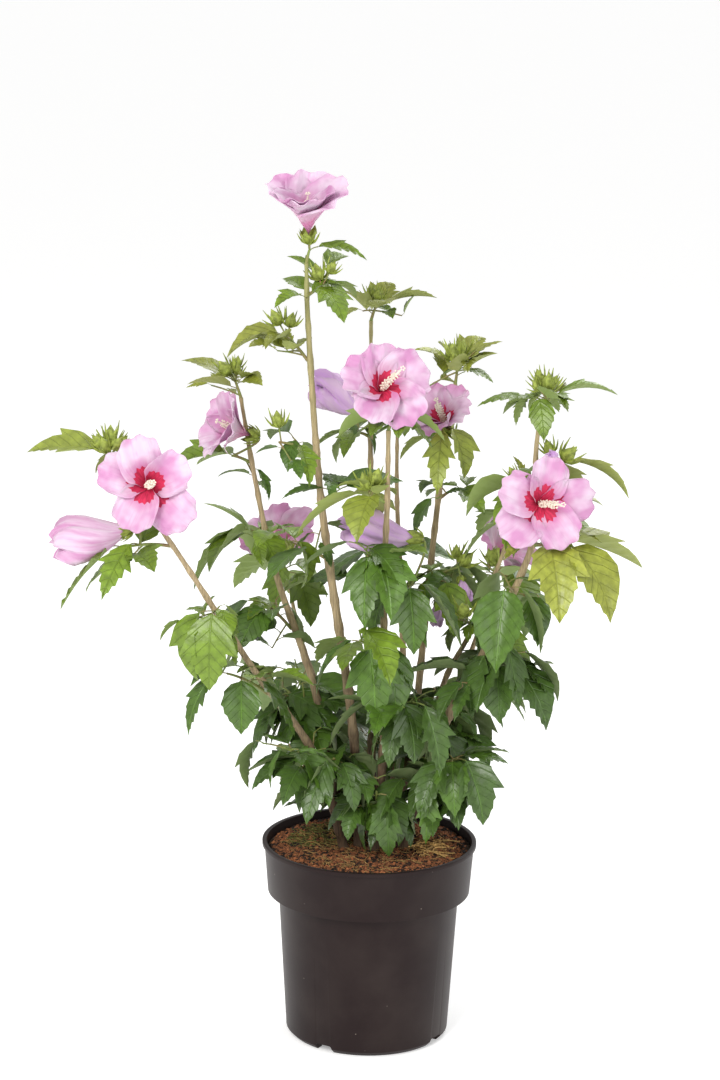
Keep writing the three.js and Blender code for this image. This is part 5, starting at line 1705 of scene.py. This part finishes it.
def make_blooms(sprays):
    colours = bpy.context.scene.hibiscus_flowers
    dice = Dice(SHOOT_SEED - 3)
    petals, furled, faded, column = Heap(), Heap(), Heap(), Heap()
    faces, slots = petal_faces()
    anthers = []
    for name, bloom in BLOOMS.items():
        axis, seat = pointing(*bloom["faces"]), np.array(bloom["seat"], float)
        if name in FURLED_GIRTH:
            points, rings, places = furled_shape(seat - axis * CALYX_LENGTH, axis,
                                                 bloom["petal"] + CALYX_LENGTH, FURLED_GIRTH[name],
                                                 FADED_CRUMPLE if name in FADED else 1)
            heap = faded if name in FADED else furled
            heap.add(points, rings, places=places)
            continue
        for number in range(PETALS):
            points, places = petal_shape(bloom, look_of(name), number, dice)
            petals.add(points, faces, slots, places)
        path = [column_place(bloom, look_of(name), share) for share, _ in COLUMN_RINGS]
        add_tube(column, path, [COLUMN_R * share for _, share in COLUMN_RINGS], COLUMN_SIDES)
        anthers += anther_spots(bloom, look_of(name), dice)
    for withered in WITHERED:
        _, foot, way = withered_line(withered, sprays)
        points, rings, places = furled_shape(foot, way, withered["length"], WITHERED_GIRTH, FADED_CRUMPLE)
        faded.add(points, rings, places=places)
    borne = spray_nodes(name for name in BLOOMS if name not in FURLED_GIRTH)
    spent = spray_nodes(sorted({*FADED, *(row["spray"] for row in WITHERED)}))
    cream = pollen_column()
    lilac = creased_petal("spent petals", colours.spent, blended(colours.spent, colours.pale, 0.65)[:3])
    blush = creased_petal("furled petals", colours.petal, colours.pale)
    dress(petals.piece("petals", [petal_pink(), petal_eye()]), "foliage", *borne)
    dress(column.piece("columns", [cream]), "foliage", *borne)
    dress(furled.piece("furled_bloom", [blush]), "foliage", *spray_nodes(FURLED))
    dress(faded.piece("spent_blooms", [lilac]), "foliage", *spent)
    grain = anther_object()
    spots = points_object("anther_spots", [spot for spot, _ in anthers],
                          {"size": [size for _, size in anthers]}, {"way": [UP for _ in anthers]})
    dress(run_tree(spots, stud_tree(), {"Thing": grain, "Material": cream}, "anthers"), "foliage", *borne)
    bpy.data.objects.remove(grain)


BUD_PROFILE = ((0, 0.12), (0.07, 0.23), (0.22, 0.33), (0.42, 0.34), (0.62, 0.25), (0.82, 0.12), (1, 0.01))
BUD_SIDES = 10
BUD_RIBS = 0.09
BRACT_RADII = (0.06, 0.085, 0.065, 0.015)
BRACT_SHARES = (0, 0.3, 0.65, 1)  # where its rings are
CALYX_PROFILE = ((0, 0.16), (0.2, 0.34), (0.45, 0.44), (0.7, 0.5))
CALYX_SIDES = 20
LOBE_SIDES = 4  # of the calyx that a lobe takes
LOBE_R = 0.58
LOBE_FOOT = 0.72
LOBE_LENGTH = 0.5


def ribbed_rings(profile, sides, rib):
    """Points of rings round +Z whose every other point stands out by `rib`."""
    angles = [side * 2 * math.pi / sides for side in range(sides)]
    swell = [1 + rib * (1 if side % 2 else -1) for side in range(sides)]
    return [(radius * out * math.cos(angle), radius * out * math.sin(angle), height)
            for height, radius in profile
            for angle, out in zip(angles, swell)]


def bud_object():
    """A bud of unit length along +Z: a pointed, five-ribbed calyx in a ruff of long narrow bracts."""
    heap = Heap()
    heap.add(ribbed_rings(BUD_PROFILE, BUD_SIDES, BUD_RIBS), ring_faces(len(BUD_PROFILE), BUD_SIDES))
    add_bracts(heap, 6, start_r=0.12, height=0.92, spread=0.62)
    return heap.piece("bud", [])


def add_bracts(heap, count, start_r, height, spread):
    """Narrow bracts that curve outward round a calyx and then rise."""
    for bract in range(count):
        angle = bract * 2 * math.pi / count + 0.2
        tall = height * (0.8 + 0.2 * (bract % 3))
        out = np.array([math.cos(angle), math.sin(angle), 0])
        spine = [out * (start_r + spread * share**0.6) + UP * tall * share**1.2
                 for share in BRACT_SHARES]
        add_tube(heap, spine, BRACT_RADII, 3)


def calyx_object():
    """An open bloom's calyx of unit length along +Z: a cup with five pointed lobes and bracts."""
    heap = Heap()
    points = ribbed_rings(CALYX_PROFILE, CALYX_SIDES, 0)
    middle = LOBE_SIDES / 2
    for side in range(CALYX_SIDES):
        angle = side * 2 * math.pi / CALYX_SIDES
        rise = LOBE_LENGTH * (1 - abs(side % LOBE_SIDES - middle) / middle)
        points.append((LOBE_R * math.cos(angle), LOBE_R * math.sin(angle), LOBE_FOOT + rise))
    heap.add(points, ring_faces(len(CALYX_PROFILE) + 1, CALYX_SIDES, closed_end=False))
    add_bracts(heap, 8, start_r=0.2, height=0.9, spread=0.6)
    return heap.piece("calyx", [])


def make_buds(sprays):
    tree, green = stud_tree(), calyx_green()
    buds = [(bud["foot"], bud["way"], bud["length"]) for spray in sprays for bud in spray["buds"]]
    calyces = []
    for bloom in BLOOMS.values():
        axis = pointing(*bloom["faces"])
        calyces.append((np.array(bloom["seat"], float) - axis * CALYX_LENGTH, axis, 1.5 * CALYX_LENGTH))
    for withered in WITHERED:
        _, foot, way = withered_line(withered, sprays)
        calyces.append((foot - way * 2, way, 0.3 * withered["length"]))
    with_buds = spray_nodes(spray["name"] for spray in sprays if spray["buds"])
    in_bloom = spray_nodes(sorted({*BLOOMS, *(row["spray"] for row in WITHERED)}))
    for name, thing, rows, nodes in (("buds", bud_object(), buds, with_buds),
                                     ("calyces", calyx_object(), calyces, in_bloom)):
        spots = points_object(f"{name}_spots", [row[0] for row in rows],
                              {"size": [row[2] for row in rows]}, {"way": [row[1] for row in rows]})
        dress(run_tree(spots, tree, {"Thing": thing, "Material": green}, name), "foliage", *nodes)
        bpy.data.objects.remove(thing)


# --- Stage ---

CAMERA_PLACE = (-0.0145, -3.0, 1.214)  # metres
CAMERA_PITCH = 77.4
CAMERA_LEAN = 0.8
LIT_POINT = (0, 0, 0.5)


def softbox(name, place, size, power, colour):
    """A square softbox aimed at the plant, its place and size in metres."""
    light = bpy.data.lights.new(name, "AREA")
    light.shape = "SQUARE"
    light.size = size
    light.energy = power
    light.color = colour
    lamp = linked(name, light)
    lamp.location = place
    lamp.rotation_euler = (Vector(LIT_POINT) - Vector(place)).to_track_quat("-Z", "Y").to_euler()


def make_stage():
    settings = bpy.context.scene.hibiscus_stage
    floor = bmesh.new()
    bmesh.ops.create_circle(floor, cap_ends=True, segments=96, radius=settings.floor_radius)
    mesh = mesh_of(floor, "studio_floor")
    mesh.materials.append(floor_paint(settings.floor_glow))
    linked("studio_floor", mesh)
    world = bpy.data.worlds.new("studio_air")
    bpy.context.scene.world = world
    world.use_nodes = True
    tree = world.node_tree
    # The backdrop itself is white, like the floor, and lights the plant less than it shows.
    seen = add(tree, "ShaderNodeLightPath").outputs["Is Camera Ray"]
    power = add(tree, "ShaderNodeMapRange", {"Value": seen, "To Min": settings.sky_strength})
    give(tree, tree.nodes["Background"], {"Color": (1, 1, 1, 1), "Strength": power})
    softbox("key_softbox", (-1.3, -2.5, 2.4), 1.3, settings.key_power, (1, 0.985, 0.96))
    softbox("fill_softbox", (2.2, -1.9, 1.2), 1.5, settings.key_power * settings.fill, (0.97, 0.985, 1))
    softbox("rim_softbox", (0.9, 2.1, 2.2), 1.2, settings.key_power * settings.fill * 1.4, (1, 1, 1))
    camera = bpy.data.cameras.new("camera")
    camera.lens = settings.lens
    camera.sensor_width = 36
    eye = linked("camera", camera)
    pitch = Matrix.Rotation(math.radians(CAMERA_PITCH), 4, "X")
    lean = Matrix.Rotation(math.radians(CAMERA_LEAN), 4, "Z")
    eye.matrix_world = Matrix.Translation(CAMERA_PLACE) @ pitch @ lean
    bpy.context.scene.camera = eye
    bpy.context.scene.view_settings.view_transform = "Standard"


# --- Settings ---

def colour_setting(label, description, hex_colour):
    return FloatVectorProperty(name=label, description=description, subtype="COLOR", size=3,
                               min=0, max=1, default=linear(hex_colour)[:3])


def length_setting(label, description, millimetres):
    return FloatProperty(name=label, description=description, default=millimetres * MM, min=0,
                         unit="LENGTH")


class HibiscusPot(bpy.types.PropertyGroup):
    plastic: colour_setting("Plastic", "Colour of the pot's plastic", "#241a1a")
    dust: colour_setting("Dust", "Colour of the dust on the pot", "#a3968b")
    edge_round: length_setting("Edge round", "Radius of the pot's moulded edges", 0.5)
    notch_round: length_setting("Notch round", "Radius of the foot notches' corners", 3)


class HibiscusSoil(bpy.types.PropertyGroup):
    chips_per_m2: FloatProperty(name="Chips", description="Chips to a square metre of mix",
                                default=42000, min=0)
    chip_length: length_setting("Chip length", "Length of the largest bark flakes", 10)
    fibre_length: length_setting("Fibre length", "Length of the longest coir fibres", 26)
    seed: IntProperty(name="Seed", description="Seed of the strewn bark, fibres and moss", default=11, min=1)
    mix: colour_setting("Mix", "Colour of the potting mix", "#4a3018")
    bark: colour_setting("Bark", "Colour of the bark chips", "#8d5735")
    peat: colour_setting("Peat", "Colour of the dark crumbs", "#2c1c12")
    straw: colour_setting("Straw", "Colour of the straw", "#c9a163")
    moss: colour_setting("Moss", "Colour of the moss", "#7b7a3c")


class HibiscusLimbs(bpy.types.PropertyGroup):
    relief: length_setting("Relief", "Depth of the bark's ridges", 0.9)
    tan: colour_setting("Tan", "Young bark, high on the stems", "#b5a07c")
    brown: colour_setting("Brown", "Old bark, low on the stems", "#5d4936")


class HibiscusCrown(bpy.types.PropertyGroup):
    growth: FloatProperty(name="Growth", description="Short shoots, over their usual number",
                          default=1, min=0, subtype="FACTOR")
    gloss: FloatProperty(name="Gloss", description="Gloss of the leaves' upper side", default=0.63,
                         min=0, max=1, subtype="FACTOR")
    deep: colour_setting("Deep", "Leaves low in the crown", "#4a6728")
    green: colour_setting("Green", "Leaves in the middle", "#537426")
    fresh: colour_setting("Fresh", "Leaves in full light", "#749028")
    olive: colour_setting("Olive", "Leaves near the tips", "#9aa23e")
    lime: colour_setting("Lime", "The youngest leaves", "#9dab44")


class HibiscusFlowers(bpy.types.PropertyGroup):
    anthers: IntProperty(name="Anthers", description="Anthers on a column", default=84, min=0)
    petal: colour_setting("Petal", "Body of the petals", "#c48bb4")
    pale: colour_setting("Pale", "Palest part of the petals", "#d9c0d4")
    flush: colour_setting("Flush", "Round the eye", "#cb6098")
    eye: colour_setting("Eye", "Feet of the petals", "#c52f53")
    spent: colour_setting("Spent", "Petals that have withered", "#d5a8e2")
    cream: colour_setting("Cream", "Column and anthers", "#ece4d2")
    calyx: colour_setting("Calyx", "Buds, bracts and calyces", "#929f47")


class HibiscusStage(bpy.types.PropertyGroup):
    lens: FloatProperty(name="Lens", description="Focal length in millimetres", default=97.53, min=1)
    floor_radius: FloatProperty(name="Floor", description="Radius of the floor", default=60, min=1,
                                unit="LENGTH")
    floor_glow: FloatProperty(name="Floor glow", description="Light from within the floor", default=0.33,
                              min=0)
    sky_strength: FloatProperty(name="Sky", description="Strength of the even light", default=0.72, min=0)
    key_power: FloatProperty(name="Key", description="Power of the main softbox", default=74, min=0,
                             unit="POWER")
    fill: FloatProperty(name="Fill", description="Power of the fill softbox over the key's", default=0.25,
                        min=0, subtype="FACTOR")


# --- Operators ---

class HIBISCUS_OT_stage(bpy.types.Operator):
    """Floor, soft lights and camera"""

    bl_idname = "hibiscus.stage"
    bl_label = "Studio stage"

    def execute(self, context):
        make_stage()
        return {"FINISHED"}


class HIBISCUS_OT_pot(bpy.types.Operator):
    """Nursery pot with its rim, collar, ledge and foot notches"""

    bl_idname = "hibiscus.pot"
    bl_label = "Nursery pot"

    def execute(self, context):
        make_pot()
        return {"FINISHED"}


class HIBISCUS_OT_soil(bpy.types.Operator):
    """Potting mix with bark, fibres, straw and moss"""

    bl_idname = "hibiscus.soil"
    bl_label = "Potting mix"

    def execute(self, context):
        make_soil()
        return {"FINISHED"}


class HIBISCUS_OT_limbs(bpy.types.Operator):
    """Stems and bough with the relief of their bark"""

    bl_idname = "hibiscus.limbs"
    bl_label = "Stems and bough"

    def execute(self, context):
        make_limbs(*plan_plant())
        return {"FINISHED"}


class HIBISCUS_OT_twigs(bpy.types.Operator):
    """Twigs, short shoots, petioles and stalks"""

    bl_idname = "hibiscus.twigs"
    bl_label = "Twigs and petioles"

    def execute(self, context):
        make_twigs(plan_plant()[1])
        return {"FINISHED"}


class HIBISCUS_OT_leaves(bpy.types.Operator):
    """Leaf blades, a piece for each tone"""

    bl_idname = "hibiscus.leaves"
    bl_label = "Leaves"

    def execute(self, context):
        make_leaves(plan_plant()[1])
        return {"FINISHED"}


class HIBISCUS_OT_blooms(bpy.types.Operator):
    """Open, furled and spent blooms"""

    bl_idname = "hibiscus.blooms"
    bl_label = "Blooms"

    def execute(self, context):
        make_blooms(plan_plant()[1])
        return {"FINISHED"}


class HIBISCUS_OT_buds(bpy.types.Operator):
    """Buds, and the calyces behind the blooms"""

    bl_idname = "hibiscus.buds"
    bl_label = "Buds and calyces"

    def execute(self, context):
        make_buds(plan_plant()[1])
        return {"FINISHED"}


OPERATORS = (HIBISCUS_OT_stage, HIBISCUS_OT_pot, HIBISCUS_OT_soil, HIBISCUS_OT_limbs,
             HIBISCUS_OT_twigs, HIBISCUS_OT_leaves, HIBISCUS_OT_blooms, HIBISCUS_OT_buds)
SETTINGS = {"hibiscus_pot": HibiscusPot, "hibiscus_soil": HibiscusSoil, "hibiscus_limbs": HibiscusLimbs,
            "hibiscus_crown": HibiscusCrown, "hibiscus_flowers": HibiscusFlowers,
            "hibiscus_stage": HibiscusStage}


class HIBISCUS_PT_pieces(bpy.types.Panel):
    """Lists the shrub's pieces and settings in the sidebar"""

    bl_idname = "HIBISCUS_PT_pieces"
    bl_label = "Potted hibiscus"
    bl_space_type = "VIEW_3D"
    bl_region_type = "UI"
    bl_category = "Hibiscus"

    def draw(self, context):
        for name, group in SETTINGS.items():
            box = self.layout.box()
            for label in group.__annotations__:
                box.prop(getattr(context.scene, name), label)
        for operator in OPERATORS:
            self.layout.operator(operator.bl_idname)


def register():
    for group in SETTINGS.values():
        bpy.utils.register_class(group)
    for name, group in SETTINGS.items():
        setattr(bpy.types.Scene, name, PointerProperty(type=group))
    for operator in OPERATORS:
        bpy.utils.register_class(operator)
    bpy.utils.register_class(HIBISCUS_PT_pieces)


def unregister():
    bpy.utils.unregister_class(HIBISCUS_PT_pieces)
    for operator in reversed(OPERATORS):
        bpy.utils.unregister_class(operator)
    for name, group in SETTINGS.items():
        delattr(bpy.types.Scene, name)
        bpy.utils.unregister_class(group)


def main():
    register()
    bpy.ops.hibiscus.stage()
    bpy.ops.hibiscus.pot()
    bpy.ops.hibiscus.soil()
    bpy.ops.hibiscus.limbs()
    bpy.ops.hibiscus.twigs()
    bpy.ops.hibiscus.leaves()
    bpy.ops.hibiscus.blooms()
    bpy.ops.hibiscus.buds()


if __name__ == "__main__":
    main()
